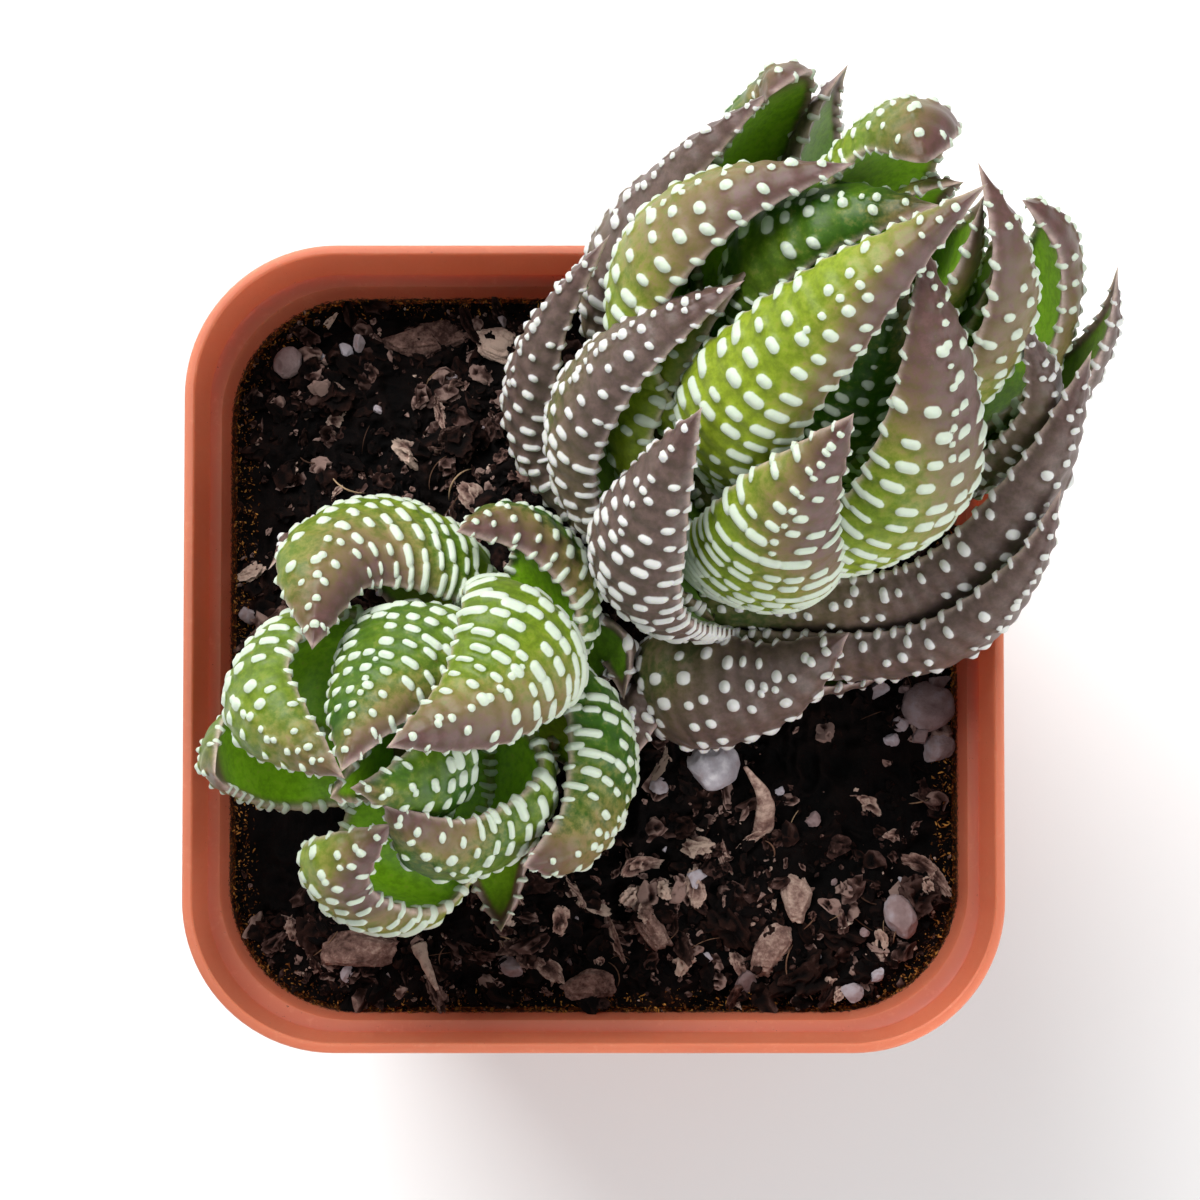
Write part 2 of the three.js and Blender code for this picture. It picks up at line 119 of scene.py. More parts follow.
def new_piece(name: str, points: np.ndarray, faces: Faces, values: Values | None = None) -> Piece:
    """Makes a smooth mesh object.

    Args:
        name: The piece's name.
        points: Its points in millimetres.
        faces: Arrays of point numbers, three or four to a row.
        values: Numbers kept on the points, by name, for the finish to read.

    Returns:
        The object.
    """
    mesh = bpy.data.meshes.new(name)
    corners = np.concatenate([rows.ravel() for rows in faces]).astype(np.int32)
    totals = np.concatenate([np.full(len(rows), rows.shape[1]) for rows in faces])
    starts = np.concatenate([[0], np.cumsum(totals)[:-1]]).astype(np.int32)
    mesh.vertices.add(len(points))
    mesh.vertices.foreach_set("co", (points * MM).astype(np.float32).ravel())
    mesh.loops.add(len(corners))
    mesh.loops.foreach_set("vertex_index", corners)
    mesh.polygons.add(len(totals))
    mesh.polygons.foreach_set("loop_start", starts)
    mesh.update(calc_edges=True)
    mesh.validate()
    for key, numbers in (values or {}).items():
        layer = mesh.attributes.new(key, "FLOAT", "POINT")
        layer.data.foreach_set("value", numbers.astype(np.float32).ravel())
    mesh.shade_smooth()
    piece = bpy.data.objects.new(name, mesh)
    bpy.context.scene.collection.objects.link(piece)
    return piece


def tube_faces(rings: int, columns: int, first: int = 0) -> Faces:
    """Faces of a closed tube of rings, with a fan at each end.

    Args:
        rings: How many rings it has.
        columns: How many points each ring has.
        first: Number of its first point. After the rings come the two end points.

    Returns:
        The four-sided and the three-sided faces.
    """
    ring = np.arange(rings - 1)[:, None] * columns
    here = np.arange(columns)
    after = (here + 1) % columns
    quads = np.stack([ring + here, ring + after, ring + columns + after, ring + columns + here], -1)
    last = (rings - 1) * columns
    foot = np.full(columns, rings * columns)
    fans = np.concatenate([
        np.stack([foot, after, here], -1),
        np.stack([foot + 1, last + here, last + after], -1),
    ])
    return [quads.reshape(-1, 4) + first, fans + first]


def with_ends(grids: Values) -> Values:
    """Numbers by ring and column in one row each, with the means of the first and last ring at the end."""
    means = {key: [grid[0].mean(), grid[-1].mean()] for key, grid in grids.items()}
    return {key: np.concatenate([grid.ravel(), means[key]]) for key, grid in grids.items()}


def closed_tube(name: str, rings: np.ndarray, values: Values) -> Piece:
    """Makes a closed body from rings of points.

    Args:
        name: The piece's name.
        rings: Places by ring, column and axis.
        values: Numbers by ring and column, by name, for the finish to read.

    Returns:
        The object.
    """
    ends = np.stack([rings[0].mean(axis=0), rings[-1].mean(axis=0)])
    points = np.concatenate([rings.reshape(-1, 3), ends])
    return new_piece(name, points, tube_faces(*rings.shape[:2]), with_ends(values))


def ball(steps: int) -> tuple[np.ndarray, np.ndarray]:
    """A round body of radius 1 made from an eight-sided one whose faces are split.

    Args:
        steps: How often each face is split into four.

    Returns:
        Its points and its three-sided faces.
    """
    points = [(1, 0, 0), (-1, 0, 0), (0, 1, 0), (0, -1, 0), (0, 0, 1), (0, 0, -1)]
    faces = [(0, 2, 4), (2, 1, 4), (1, 3, 4), (3, 0, 4), (2, 0, 5), (1, 2, 5), (3, 1, 5), (0, 3, 5)]
    for _ in range(steps):
        middles: dict[tuple[int, int], int] = {}

        def middle(a: int, b: int) -> int:
            """The point between two others, made when it is first asked for.

            Args:
                a: Number of one point.
                b: Number of the other.

            Returns:
                Its number.
            """
            key = (min(a, b), max(a, b))
            if key not in middles:
                points.append(tuple((p + q) / 2 for p, q in zip(points[a], points[b])))
                middles[key] = len(points) - 1
            return middles[key]

        parts = []
        for a, b, c in faces:
            ab, bc, ca = middle(a, b), middle(b, c), middle(c, a)
            parts += [(a, ab, ca), (ab, b, bc), (ca, bc, c), (ab, bc, ca)]
        faces = parts
    return unit(np.array(points, float)), np.array(faces)


def sweep(at: np.ndarray, side: np.ndarray, up: np.ndarray, sides: int) -> tuple[np.ndarray, np.ndarray]:
    """Round rings along a line.

    Args:
        at: Points of the line.
        side: Direction of each ring's first radius, or one for all.
        up: Direction of its second.
        sides: Points of a ring.

    Returns:
        The rings' radii of length 1, by ring and column, and the columns' angles.
    """
    turn = np.linspace(0, 2 * math.pi, sides, endpoint=False)
    side, up = np.broadcast_to(side, at.shape), np.broadcast_to(up, at.shape)
    return side[:, None] * np.cos(turn)[:, None] + up[:, None] * np.sin(turn)[:, None], turn


def dress(piece: Piece, material: bpy.types.Material, slot: str, *nodes: str) -> None:
    """Finishes a piece.

    Args:
        piece: The object.
        material: Its material.
        slot: Its slot, which is not used.
        nodes: The CAD nodes that it stands for.
    """
    piece.data.materials.append(material)
    if nodes:
        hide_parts(*nodes)
    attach(piece, "root")


class Line:
    """A smooth line through points, measured by the share of its length (centripetal Catmull-Rom)."""

    STEPS = 200
    NEAR = 0.004

    def __init__(self, points: np.ndarray) -> None:
        """Draws the line finely enough to be read off.

        Args:
            points: What it passes through, three numbers to a row.
        """
        ends = np.vstack([2 * points[0] - points[1], points, 2 * points[-1] - points[-2]])
        pieces = []
        for p0, p1, p2, p3 in zip(ends, ends[1:], ends[2:], ends[3:]):
            d0, d1, d2 = (np.linalg.norm(b - a) ** 0.5 for a, b in ((p0, p1), (p1, p2), (p2, p3)))
            leave = d1 * ((p1 - p0) / d0 - (p2 - p0) / (d0 + d1) + (p2 - p1) / d1)
            reach = d1 * ((p2 - p1) / d1 - (p3 - p1) / (d1 + d2) + (p3 - p2) / d2)
            t = np.linspace(0, 1, self.STEPS, endpoint=False)[:, None]
            cubic = 2 * p1 - 2 * p2 + leave + reach
            square = -3 * p1 + 3 * p2 - 2 * leave - reach
            pieces.append(p1 + leave * t + square * t**2 + cubic * t**3)
        self.points = np.vstack([*pieces, points[-1]])
        self.lengths = np.concatenate([[0], np.cumsum(np.linalg.norm(np.diff(self.points, axis=0), axis=1))])
        self.length = self.lengths[-1]
        self.parts = np.linspace(0, 1, len(self.points))

    def at(self, share: np.ndarray) -> np.ndarray:
        """Points of the line at shares of its length."""
        return np.stack([np.interp(share * self.length, self.lengths, axis) for axis in self.points.T], -1)

    def way(self, share: np.ndarray) -> np.ndarray:
        """Directions of the line at shares of its length."""
        return unit(self.at(np.minimum(share + self.NEAR, 1)) - self.at(np.maximum(share - self.NEAR, 0)))

    def part(self, share: np.ndarray) -> np.ndarray:
        """How far through its points, from 0 to 1, the line is at shares of its length."""
        return np.interp(share * self.length, self.lengths, self.parts)


# ---------------------------------------------------------------- finishes


def linear(code: str) -> tuple[float, float, float, float]:
    """An sRGB hex colour as linear red, green, blue and a full alpha."""
    shares = [int(code[at : at + 2], 16) / 255 for at in (1, 3, 5)]
    return (*[s / 12.92 if s <= 0.04045 else ((s + 0.055) / 1.055) ** 2.4 for s in shares], 1.0)


def per(size: float) -> float:
    """Scale of a texture whose features are that many millimetres across."""
    return 1 / (size * MM)


def add_node(tree: bpy.types.NodeTree, kind: str, settings: dict | None = None, links: dict | None = None,
             out: str = "") -> Socket | None:
    """Adds one node to a material.

    Args:
        tree: The material's node tree.
        kind: The node's type, without the words that all types start with.
        settings: Its own settings and the values of its inputs, by name or number. "stops" are a
            ramp's places with their hex colours.
        links: Outputs that feed its inputs, by the input's name or number.
        out: Name of the output that is wanted, if it isn't the first one in use.

    Returns:
        That output, or None for a node that has none.
    """
    node = tree.nodes.new("ShaderNode" + kind)
    for key, value in (settings or {}).items():
        if key == "stops":
            ramp = node.color_ramp.elements
            for place, _ in value[2:]:
                ramp.new(place)
            for stop, (place, colour) in zip(ramp, value):
                stop.position = place
                stop.color = linear(colour)
        elif isinstance(key, str) and hasattr(node, key):
            setattr(node, key, value)
        else:
            node.inputs[key].default_value = value
    for key, output in (links or {}).items():
        tree.links.new(output, node.inputs[key])
    return next((output for output in node.outputs if output.enabled and out in ("", output.name)), None)


@dataclass(frozen=True)
class Finish:
    """What every finish has: a name and a shader that is not a metal."""

    name: str
    ior: float = 1.38

    def paint(self, add: Callable, place: Socket) -> Paint:
        """Adds the finish's own nodes.

        Args:
            add: Adds a node to the material, as add_node does.
            place: The piece's own coordinates.

        Returns:
            The shader's settings and its links, by input.
        """
        raise NotImplementedError

    def make(self) -> bpy.types.Material:
        """Builds the material, and returns it."""
        material = bpy.data.materials.new(self.name)
        material.use_nodes = True
        tree = material.node_tree
        tree.nodes.clear()
        add = partial(add_node, tree)
        settings, links = self.paint(add, add("TexCoord", out="Object"))
        shader = add("BsdfPrincipled", {"IOR": self.ior, "Metallic": 0.0} | settings, links)
        add("OutputMaterial", {}, {"Surface": shader})
        return material


@dataclass(frozen=True)
class LeafSkin(Finish):
    """Living succulent leaf under a thin wax bloom, with raised white tubercles.

    The wax gives a broad, soft sheen. The flesh lets a little light through, so thin tips and
    margins look lighter than a painted surface; the pale margins and the bright hollow face are partly
    painted light that stands for it. Sun turns the outside purple-brown from the tip down.
    """

    lime: str = "#86991c"
    deep: str = "#2f5a04"
    # Painted light in part: the hollow face's green is brighter than its own, for the light through the leaf.
    hollow: str = "#84ba16"
    olive: str = "#837640"
    brown: str = "#644a44"
    point: str = "#4e2d2a"
    # The pale margin colour is partly the margin's own and partly painted rim light.
    margin: str = "#cdb5ab"
    spot: str = "#c6d1bf"
    glow_depth: float = 1.2

    def paint(self, add: Callable, place: Socket) -> Paint:
        """Adds the green, the tan and the tubercles, which read six numbers from the mesh.

        Args:
            add: Adds a node to the material.
            place: The piece's own coordinates.

        Returns:
            The shader's settings and links.
        """
        lime, brown, inner, spot, along, rim = (
            add("Attribute", {"attribute_name": key}, out="Fac")
            for key in ("lime", "brown", "inner", "spot", "along", "rim")
        )
        cloud = add("TexNoise", {"Scale": per(4), "Detail": 3.0, "Roughness": 0.55}, {"Vector": place})
        fleck = add("TexNoise", {"Scale": per(0.7), "Detail": 4.0, "Roughness": 0.65}, {"Vector": place})
        # The green, from deep to lime, with soft clouds of a few millimetres.
        shift = add("Math", {"operation": "MULTIPLY_ADD", 1: 0.7, 2: -0.35}, {0: cloud})
        ripe = add("Math", {"operation": "ADD", "use_clamp": True}, {0: lime, 1: shift})
        skin = add("Mix", {"data_type": "RGBA", 6: linear(self.deep), 7: linear(self.lime)}, {0: ripe})
        # The hollow face is clear green, painted brighter than its own green as painted light for the light
        # that comes through the thin leaf. The sun's brown comes over it through olive, in clouds, and is
        # darkest at the point. The margins are thin and pale towards the tip, partly their own pale colour
        # and partly painted rim light.
        uneven = add("Math", {"operation": "MULTIPLY_ADD", 1: 1.1, 2: -0.55}, {0: fleck})
        tanned = add("Math", {"operation": "ADD", "use_clamp": True}, {0: brown, 1: uneven})
        some = add("MapRange", {"From Min": 0.05, "From Max": 0.55}, {"Value": tanned})
        full = add("MapRange", {"From Min": 0.4, "From Max": 1.0}, {"Value": tanned})
        end = add("MapRange", {"From Min": 0.8, "From Max": 1.0, "To Max": 0.75}, {"Value": along})
        # Pale margins: partly the thin margin's own colour, partly painted rim light.
        margin_and_rim_light = add("Math", {"operation": "MULTIPLY", 1: 0.6}, {0: rim})
        for share, colour in ((inner, self.hollow), (some, self.olive), (full, self.brown),
                              (end, self.point), (margin_and_rim_light, self.margin)):
            skin = add("Mix", {"data_type": "RGBA", 7: linear(colour)}, {0: share, 6: skin})
        # Fine darker flecks over all of it.
        dark = add("MapRange", {"From Min": 0.38, "From Max": 0.62, "To Min": 0.72, "To Max": 1.1},
                   {"Value": fleck})
        skin = add("VectorMath", {"operation": "SCALE"}, {0: skin, "Scale": dark})
        # Tubercles: the raised field is cut at a level, so their outlines are crisp.
        ragged = add("Math", {"operation": "MULTIPLY_ADD", 1: 0.16, 2: -0.08}, {0: fleck})
        raised = add("Math", {"operation": "ADD"}, {0: spot, 1: ragged})
        white = add("MapRange", {"interpolation_type": "SMOOTHSTEP", "From Min": 0.22, "From Max": 0.42,
                                 "To Max": 0.93}, {"Value": raised})
        colour = add("Mix", {"data_type": "RGBA", 7: linear(self.spot)}, {0: white, 6: skin})
        gloss = add("MapRange", {"To Min": 0.36, "To Max": 0.52}, {"Value": fleck})
        fine = add("TexNoise", {"Scale": per(0.3), "Detail": 2.0, "Roughness": 0.5}, {"Vector": place})
        bump = add("Bump", {"Strength": 0.35, "Distance": 0.06 * MM}, {"Height": fine})
        settings = {"Sheen Weight": 0.05, "Sheen Roughness": 0.45, "Subsurface Weight": 0.14,
                    "Subsurface Radius": (0.6, 1.0, 0.2), "Subsurface Scale": self.glow_depth * MM}
        return settings, {"Base Color": colour, "Roughness": gloss, "Normal": bump}


@dataclass(frozen=True)
class MouldedPolypropylene(Finish):
    """Injection-moulded polypropylene, dyed terracotta: satin, with fine rub marks and dust near the soil.

    The mould leaves it even in colour, but painted shade darkens the wall towards the foot. Handling
    gives short scuffs that catch the light, and watering leaves a dark, speckled tide line of soil on the
    inner wall.
    """

    ior: float = 1.47
    body: str = "#b66347"
    worn: str = "#cf866a"
    dust: str = "#120a07"
    gold: str = "#a8682c"
    soil_line: float = 50
    tide: float = 1.5
    foot_shade_top: float = 56
    glow_depth: float = 5

    def paint(self, add: Callable, place: Socket) -> Paint:
        """Adds the dyed plastic, its scuffs and its dust, which reads inside from the mesh.

        Args:
            add: Adds a node to the material.
            place: The piece's own coordinates.

        Returns:
            The shader's settings and links.
        """
        flat = add("Mapping", {"Scale": (1, 1, 0.2)}, {"Vector": place})
        scuff = add("TexNoise", {"Scale": per(0.8), "Detail": 5.0, "Roughness": 0.7}, {"Vector": flat})
        cloud = add("TexNoise", {"Scale": per(14), "Detail": 2.0}, {"Vector": place})
        rub = add("MapRange", {"From Min": 0.56, "From Max": 0.8, "To Max": 0.4}, {"Value": scuff})
        tint = add("Mix", {"data_type": "RGBA", 6: linear(self.body), 7: linear(self.worn)}, {0: rub})
        # Painted shade: the wall is darker towards the foot.
        high = add("SeparateXYZ", {}, {0: place}, "Z")
        foot_shade = add("MapRange", {"From Max": self.foot_shade_top * MM, "To Min": 0.78}, {"Value": high})
        shade = add("MapRange", {"From Min": 0.3, "From Max": 0.7, "To Min": 0.9, "To Max": 1.06},
                    {"Value": cloud})
        shade = add("Math", {"operation": "MULTIPLY"}, {0: shade, 1: foot_shade})
        even = add("VectorMath", {"operation": "SCALE"}, {0: tint, "Scale": shade})
        # Soil dust lies on the inner wall, thick at the soil and thinning out upwards, with golden grains.
        speck = add("TexNoise", {"Scale": per(0.35), "Detail": 3.0, "Roughness": 0.8}, {"Vector": place})
        inside = add("Attribute", {"attribute_name": "inside"}, out="Fac")
        low, clean = self.soil_line * MM, (self.soil_line + self.tide) * MM
        above = add("MapRange", {"From Min": low, "From Max": clean, "To Min": 0.66, "To Max": 0.3},
                    {"Value": high})
        grains = add("Math", {"operation": "LESS_THAN"}, {0: speck, 1: above})
        dusty = add("Math", {"operation": "MULTIPLY"}, {0: grains, 1: inside})
        glint = add("TexNoise", {"Scale": per(0.25), "Detail": 1.0}, {"Vector": place})
        golden = add("MapRange", {"From Min": 0.6, "From Max": 0.66}, {"Value": glint})
        soiled = add("Mix", {"data_type": "RGBA", 6: linear(self.dust), 7: linear(self.gold)}, {0: golden})
        colour = add("Mix", {"data_type": "RGBA"}, {0: dusty, 6: even, 7: soiled})
        gloss = add("MapRange", {"To Min": 0.46, "To Max": 0.66}, {"Value": scuff})
        bump = add("Bump", {"Strength": 0.3, "Distance": 0.05 * MM}, {"Height": scuff})
        settings = {"Subsurface Weight": 0.75, "Subsurface Radius": (1.0, 0.85, 0.75),
                    "Subsurface Scale": self.glow_depth * MM}
        return settings, {"Base Color": colour, "Roughness": gloss, "Normal": bump}


@dataclass(frozen=True)
class Grainy(Finish):
    """Loose natural matter, such as peat, bark, perlite or dry leaf, with no shine of its own.

    Each crumb has a tone, read from the mesh, and a fine grain over it. The tone is paler where the
    grain is raised and darker in its pits, partly the matter's own mottle and partly painted shade.
    Broken surfaces scatter light, so the eye sees tone and relief and hardly any gloss.
    """

    tones: tuple[tuple[float, str], ...] = ((0.0, "#1a1210"), (1.0, "#5a4136"))
    grain: float = 0.5
    relief: float = 0.2
    roughness: float = 0.85
    mottle_and_shade: float = 0.5
    ior: float = 1.2

    def paint(self, add: Callable, place: Socket) -> Paint:
        """Adds the crumbs' tones, read from the mesh, and their grain.

        Args:
            add: Adds a node to the material.
            place: The piece's own coordinates.

        Returns:
            The shader's settings and links.
        """
        tone = add("Attribute", {"attribute_name": "tone"}, out="Fac")
        grain = add("TexNoise", {"Scale": per(self.grain), "Detail": 6.0, "Roughness": 0.7},
                    {"Vector": place})
        # The grain that raises the bump also shifts the tone: partly mottle, partly painted shade in the
        # pits.
        centred = add("Math", {"operation": "MULTIPLY_ADD", 1: self.mottle_and_shade, 2: -self.mottle_and_shade / 2}, {0: grain})
        level = add("Math", {"operation": "ADD", "use_clamp": True}, {0: tone, 1: centred})
        colour = add("ValToRGB", {"stops": self.tones}, {0: level})
        bump = add("Bump", {"Strength": 0.8, "Distance": self.relief * MM}, {"Height": grain})
        return {"Roughness": self.roughness}, {"Base Color": colour, "Normal": bump}


@dataclass(frozen=True)
class MattePaper(Finish):
    """Seamless studio paper: pale, even and without gloss."""

    tint: str = "#f2f2f0"

    def paint(self, add: Callable, place: Socket) -> Paint:
        """Adds the paper's tooth.

        Args:
            add: Adds a node to the material.
            place: The piece's own coordinates.

        Returns:
            The shader's settings and links.
        """
        tooth = add("TexNoise", {"Scale": per(2), "Detail": 2.0}, {"Vector": place})
        bump = add("Bump", {"Strength": 0.05, "Distance": 0.02 * MM}, {"Height": tooth})
        return {"Base Color": linear(self.tint), "Roughness": 0.9}, {"Normal": bump}


# ---------------------------------------------------------------- view and studio


@dataclass(frozen=True)
class View:
    """A pinhole held over the pot. It reads picture points, in a square of 1200, as places."""

    middle: float = 600
    scale: float = 11.73
    distance: float = 400
    lean: float = math.radians(3.6)
    aim: Point = (0.55, 4, 62)
    sensor: float = 36

    @property
    def away(self) -> np.ndarray:
        """Direction in which the view looks."""
        return np.array([0, math.sin(self.lean), -math.cos(self.lean)])

    @property
    def eye(self) -> np.ndarray:
        """Place of the pinhole."""
        return np.array(self.aim) - self.away * self.distance

    def seen(self, point: Point) -> np.ndarray:
        """The place at a height.

        Args:
            point: A picture point across and down, and a height in millimetres.

        Returns:
            The place in millimetres.
        """
        u, v, z = point
        up = np.array([0, math.cos(self.lean), math.sin(self.lean)])
        ray = self.away * self.distance * self.scale + up * (self.middle - v)
        ray[0] += u - self.middle
        return self.eye + ray * (z - self.eye[2]) / ray[2]

    def camera(self) -> Piece:
        """Makes the scene's camera at the pinhole, and returns it."""
        data = bpy.data.cameras.new("view_camera")
        data.sensor_width = self.sensor
        data.lens = self.sensor * self.scale * self.distance / (2 * self.middle)
        camera = bpy.data.objects.new("view_camera", data)
        camera.location = Vector(self.eye * MM)
        camera.rotation_euler = (self.lean, 0, 0)
        bpy.context.scene.collection.objects.link(camera)
        bpy.context.scene.camera = camera
        return camera


VIEW = View()


@dataclass(frozen=True)
class Studio:
    """Pale paper, a bright tent of light and one large soft window light from behind."""

    floor_size: float = 3000
    zenith: float = 0.4
    horizon: float = 0.42
    tent_top: float = 0.8
    daylight: str = "#f4f8ff"
    lit: Point = (0, 0, 60)
    window_power: float = 4.3
    window_size: float = 400
    window_place: Point = (-190, 330, 420)
    fill_power: float = 2.3
    fill_size: float = 500
    fill_place: Point = (350, -280, 280)

    def light(self, name: str, power: float, size: float, place: Point) -> Piece:
        """Adds a square soft light that faces the plant.

        Args:
            name: The light's name.
            power: Its power in watts.
            size: Its width.
            place: Its middle.

        Returns:
            The light.
        """
        data = bpy.data.lights.new(name, "AREA")
        data.energy = power
        data.size = size * MM
        lamp = bpy.data.objects.new(name, data)
        lamp.location = Vector(place) * MM
        lamp.rotation_euler = (Vector(self.lit) - Vector(place)).to_track_quat("-Z", "Y").to_euler()
        bpy.context.scene.collection.objects.link(lamp)
        return lamp

    def build(self) -> None:
        """Makes the floor, the tent and the lights."""
        half = self.floor_size / 2
        corners = np.array([[-half, -half, 0], [half, -half, 0], [half, half, 0], [-half, half, 0]])
        floor = new_piece("studio_floor", corners, [np.array([[0, 1, 2, 3]])])
        floor.data.materials.append(MattePaper("studio_paper").make())
        world = bpy.data.worlds.new("studio_tent")
        world.use_nodes = True
        add = partial(add_node, world.node_tree)
        high = add("SeparateXYZ", {}, {0: add("TexCoord", out="Generated")}, "Z")
        strength = add("MapRange", {"interpolation_type": "SMOOTHSTEP", "From Max": self.tent_top,
                                    "To Min": self.horizon, "To Max": self.zenith}, {"Value": high})
        glow = world.node_tree.nodes["Background"]
        glow.inputs["Color"].default_value = linear(self.daylight)
        world.node_tree.links.new(strength, glow.inputs["Strength"])
        bpy.context.scene.world = world
        self.light("window_light", self.window_power, self.window_size, self.window_place)
        self.light("fill_light", self.fill_power, self.fill_size, self.fill_place)
        bpy.context.scene.view_settings.view_transform = "Standard"


# ---------------------------------------------------------------- pot


@dataclass(frozen=True)
class Pot:
    """The square pot: thin walls, a deep collar under the rim, an inner ledge and a drained floor.

    openings are cut through the floor at each side, each with its lowest and highest corner and the
    number of its sides. crease is the least angle that looks sharp, in degrees.
    """

    finish: MouldedPolypropylene
    rim_width: float = 70
    rim_depth: float = 69
    height: float = 62
    corner: float = 13
    base_corner: float = 8
    base_half: float = 25.4
    wall: float = 0.9
    edge: float = 0.5
    floor: float = 1.6
    collar_height: float = 12
    collar_step: float = 1.4
    collar_draft: float = 1
    ledge: float = 54.2
    ledge_width: float = 1.1
    corner_steps: int = 22
    side_steps: int = 6
    crease: float = 40
    openings: tuple[tuple[str, Point, Point, int], ...] = (
        ("hole", (12.5, 12.5, -1), (18.5, 18.5, 3), 32),
        ("slot", (17.7, -5.5, -1), (21.3, 5.5, 3), 4),
        ("groove", (19.5, -3.5, -0.8), (44.9, 3.5, 0.8), 4),
    )

    def wall_half(self, z: float) -> float:
        """Half-width of the outer wall below the collar at a height."""
        foot = self.rim_width / 2 - self.collar_draft - self.collar_step
        return self.base_half + (foot - self.base_half) * z / (self.height - self.collar_height)

    def corner_at(self, z: float) -> float:
        """Corner radius of the outside at a height."""
        return self.base_corner + (self.corner - self.base_corner) * z / self.height

    def ring(self, half: float, radius: float, z: float) -> np.ndarray:
        """A level ring with round corners, anticlockwise from above.

        Args:
            half: Half its width. Its depth is less by as much as the rim's is.
            radius: Radius of its corners.
            z: Its height.

        Returns:
            Its points.
        """
        deep = half - (self.rim_width - self.rim_depth) / 2
        arcs = []
        for corner, (side_x, side_y) in enumerate(((1, 1), (-1, 1), (-1, -1), (1, -1))):
            angles = (corner + np.arange(self.corner_steps + 1) / self.corner_steps) * math.pi / 2
            arcs.append(np.stack([side_x * (half - radius) + radius * np.cos(angles),
                                  side_y * (deep - radius) + radius * np.sin(angles)], -1))
        shares = np.arange(1, self.side_steps)[:, None] / self.side_steps
        rows = []
        for arc, following in zip(arcs, arcs[1:] + arcs[:1]):
            rows += [arc, arc[-1] + (following[0] - arc[-1]) * shares]
        flat = np.concatenate(rows)
        return np.column_stack([flat, np.full(len(flat), float(z))])

    def profile(self) -> list[Point]:
        """Rows of half-width, height and inset from the outer wall, up the outside and down the inside."""
        lip = self.rim_width / 2
        collar = self.height - self.collar_height
        half, top, rest, edge, wall = self.wall_half, self.height, self.ledge, self.edge, self.wall
        inner, shelf = half(rest) - wall, self.ledge_width
        # Each eased edge has two or three rows close together.
        foot = [(self.base_half - edge, 0), (self.base_half - edge * 0.3, edge * 0.25), (half(edge), edge)]
        outside = [(half(z), z) for z in np.linspace(6, collar - edge - 0.2, 8)]
        step, under = self.collar_step, half(collar)
        brow = [(under + 0.12, collar - edge * 0.5), (under + step * 0.8, collar - 0.1),
                (under + step, collar + 0.25)]
        rim = [(lip - 0.1, top - 1.6), (lip, top - 1.2), (lip, top - edge),
               (lip - edge * 0.12, top - edge * 0.25), (lip - edge * 0.5, top)]
        lap = lip - wall
        mouth = [(lap + edge * 0.3, top), (lap + 0.02, top - edge * 0.3), (lap, top - edge)]
        on_ledge = [(inner + shelf + 0.1, rest + edge + 0.6), (inner + shelf, rest + edge * 0.6),
                    (inner + shelf * 0.8, rest + 0.12), (inner + 0.12, rest), (inner, rest - 0.2)]
        inside = [(half(z) - wall, z) for z in (44, 34, 24, 14, 6)]
        floor = [(half(self.floor) - wall, self.floor + 0.4), (half(self.floor) - wall - 0.4, self.floor)]
        rows = [(*row, 0) for row in foot + outside + brow + rim]
        return rows + [(*row, wall) for row in mouth + on_ledge + inside + floor]

    def cutter(self, name: str, low: Point, high: Point, sides: int, turn: float) -> Piece:
        """Makes a tool that cuts the floor.

        Args:
            name: The tool's name.
            low: Its lowest corner.
            high: Its highest corner.
            sides: 4 for a box, or more for a round pin.
            turn: Its turn about Z, in radians.

        Returns:
            The tool.
        """
        middle = (np.array(low) + np.array(high)) / 2
        half = (np.array(high) - np.array(low)) / 2
        angles = (np.arange(sides) + 0.5) / sides * 2 * math.pi
        reach = math.sqrt(2) if sides == 4 else 1
        flat = np.stack([np.cos(angles) * half[0], np.sin(angles) * half[1]], -1) * reach + middle[:2]
        spin = np.array([[math.cos(turn), math.sin(turn)], [-math.sin(turn), math.cos(turn)]])
        flat = flat @ spin
        rings = np.stack([np.column_stack([flat, np.full(sides, z)]) for z in (low[2], high[2])])
        return closed_tube(name, rings, {})

    def build(self) -> None:
        """Lofts the pot, cuts its drain holes, slots and grooves, and dresses it."""
        rows = self.profile()
        rings = np.stack([self.ring(half, self.corner_at(z) - inset, z) for half, z, inset in rows])
        inside = np.array([[float(inset > 0)] * rings.shape[1] for _, _, inset in rows])
        pot = closed_tube("nursery_pot", rings, {"inside": inside})
        cutters = [self.cutter(f"{name}_{side}", low, high, sides, side * math.pi / 2)
                   for side in range(4) for name, low, high, sides in self.openings]
        for tool in cutters:
            cut = pot.modifiers.new(tool.name, "BOOLEAN")
            cut.operation = "DIFFERENCE"
            cut.solver = "EXACT"
            cut.object = tool
        bpy.context.view_layer.update()
        mesh = bpy.data.meshes.new_from_object(pot.evaluated_get(bpy.context.evaluated_depsgraph_get()))
        pot.modifiers.clear()
        pot.data = mesh
        for tool in cutters:
            bpy.data.objects.remove(tool)
        mesh.set_sharp_from_angle(angle=math.radians(self.crease))
        mesh.materials.clear()
        dress(pot, self.finish.make(), "terracotta_plastic", "pot")
        LOG.info("pot: %d faces", len(mesh.polygons))


# ---------------------------------------------------------------- soil and what lies on it


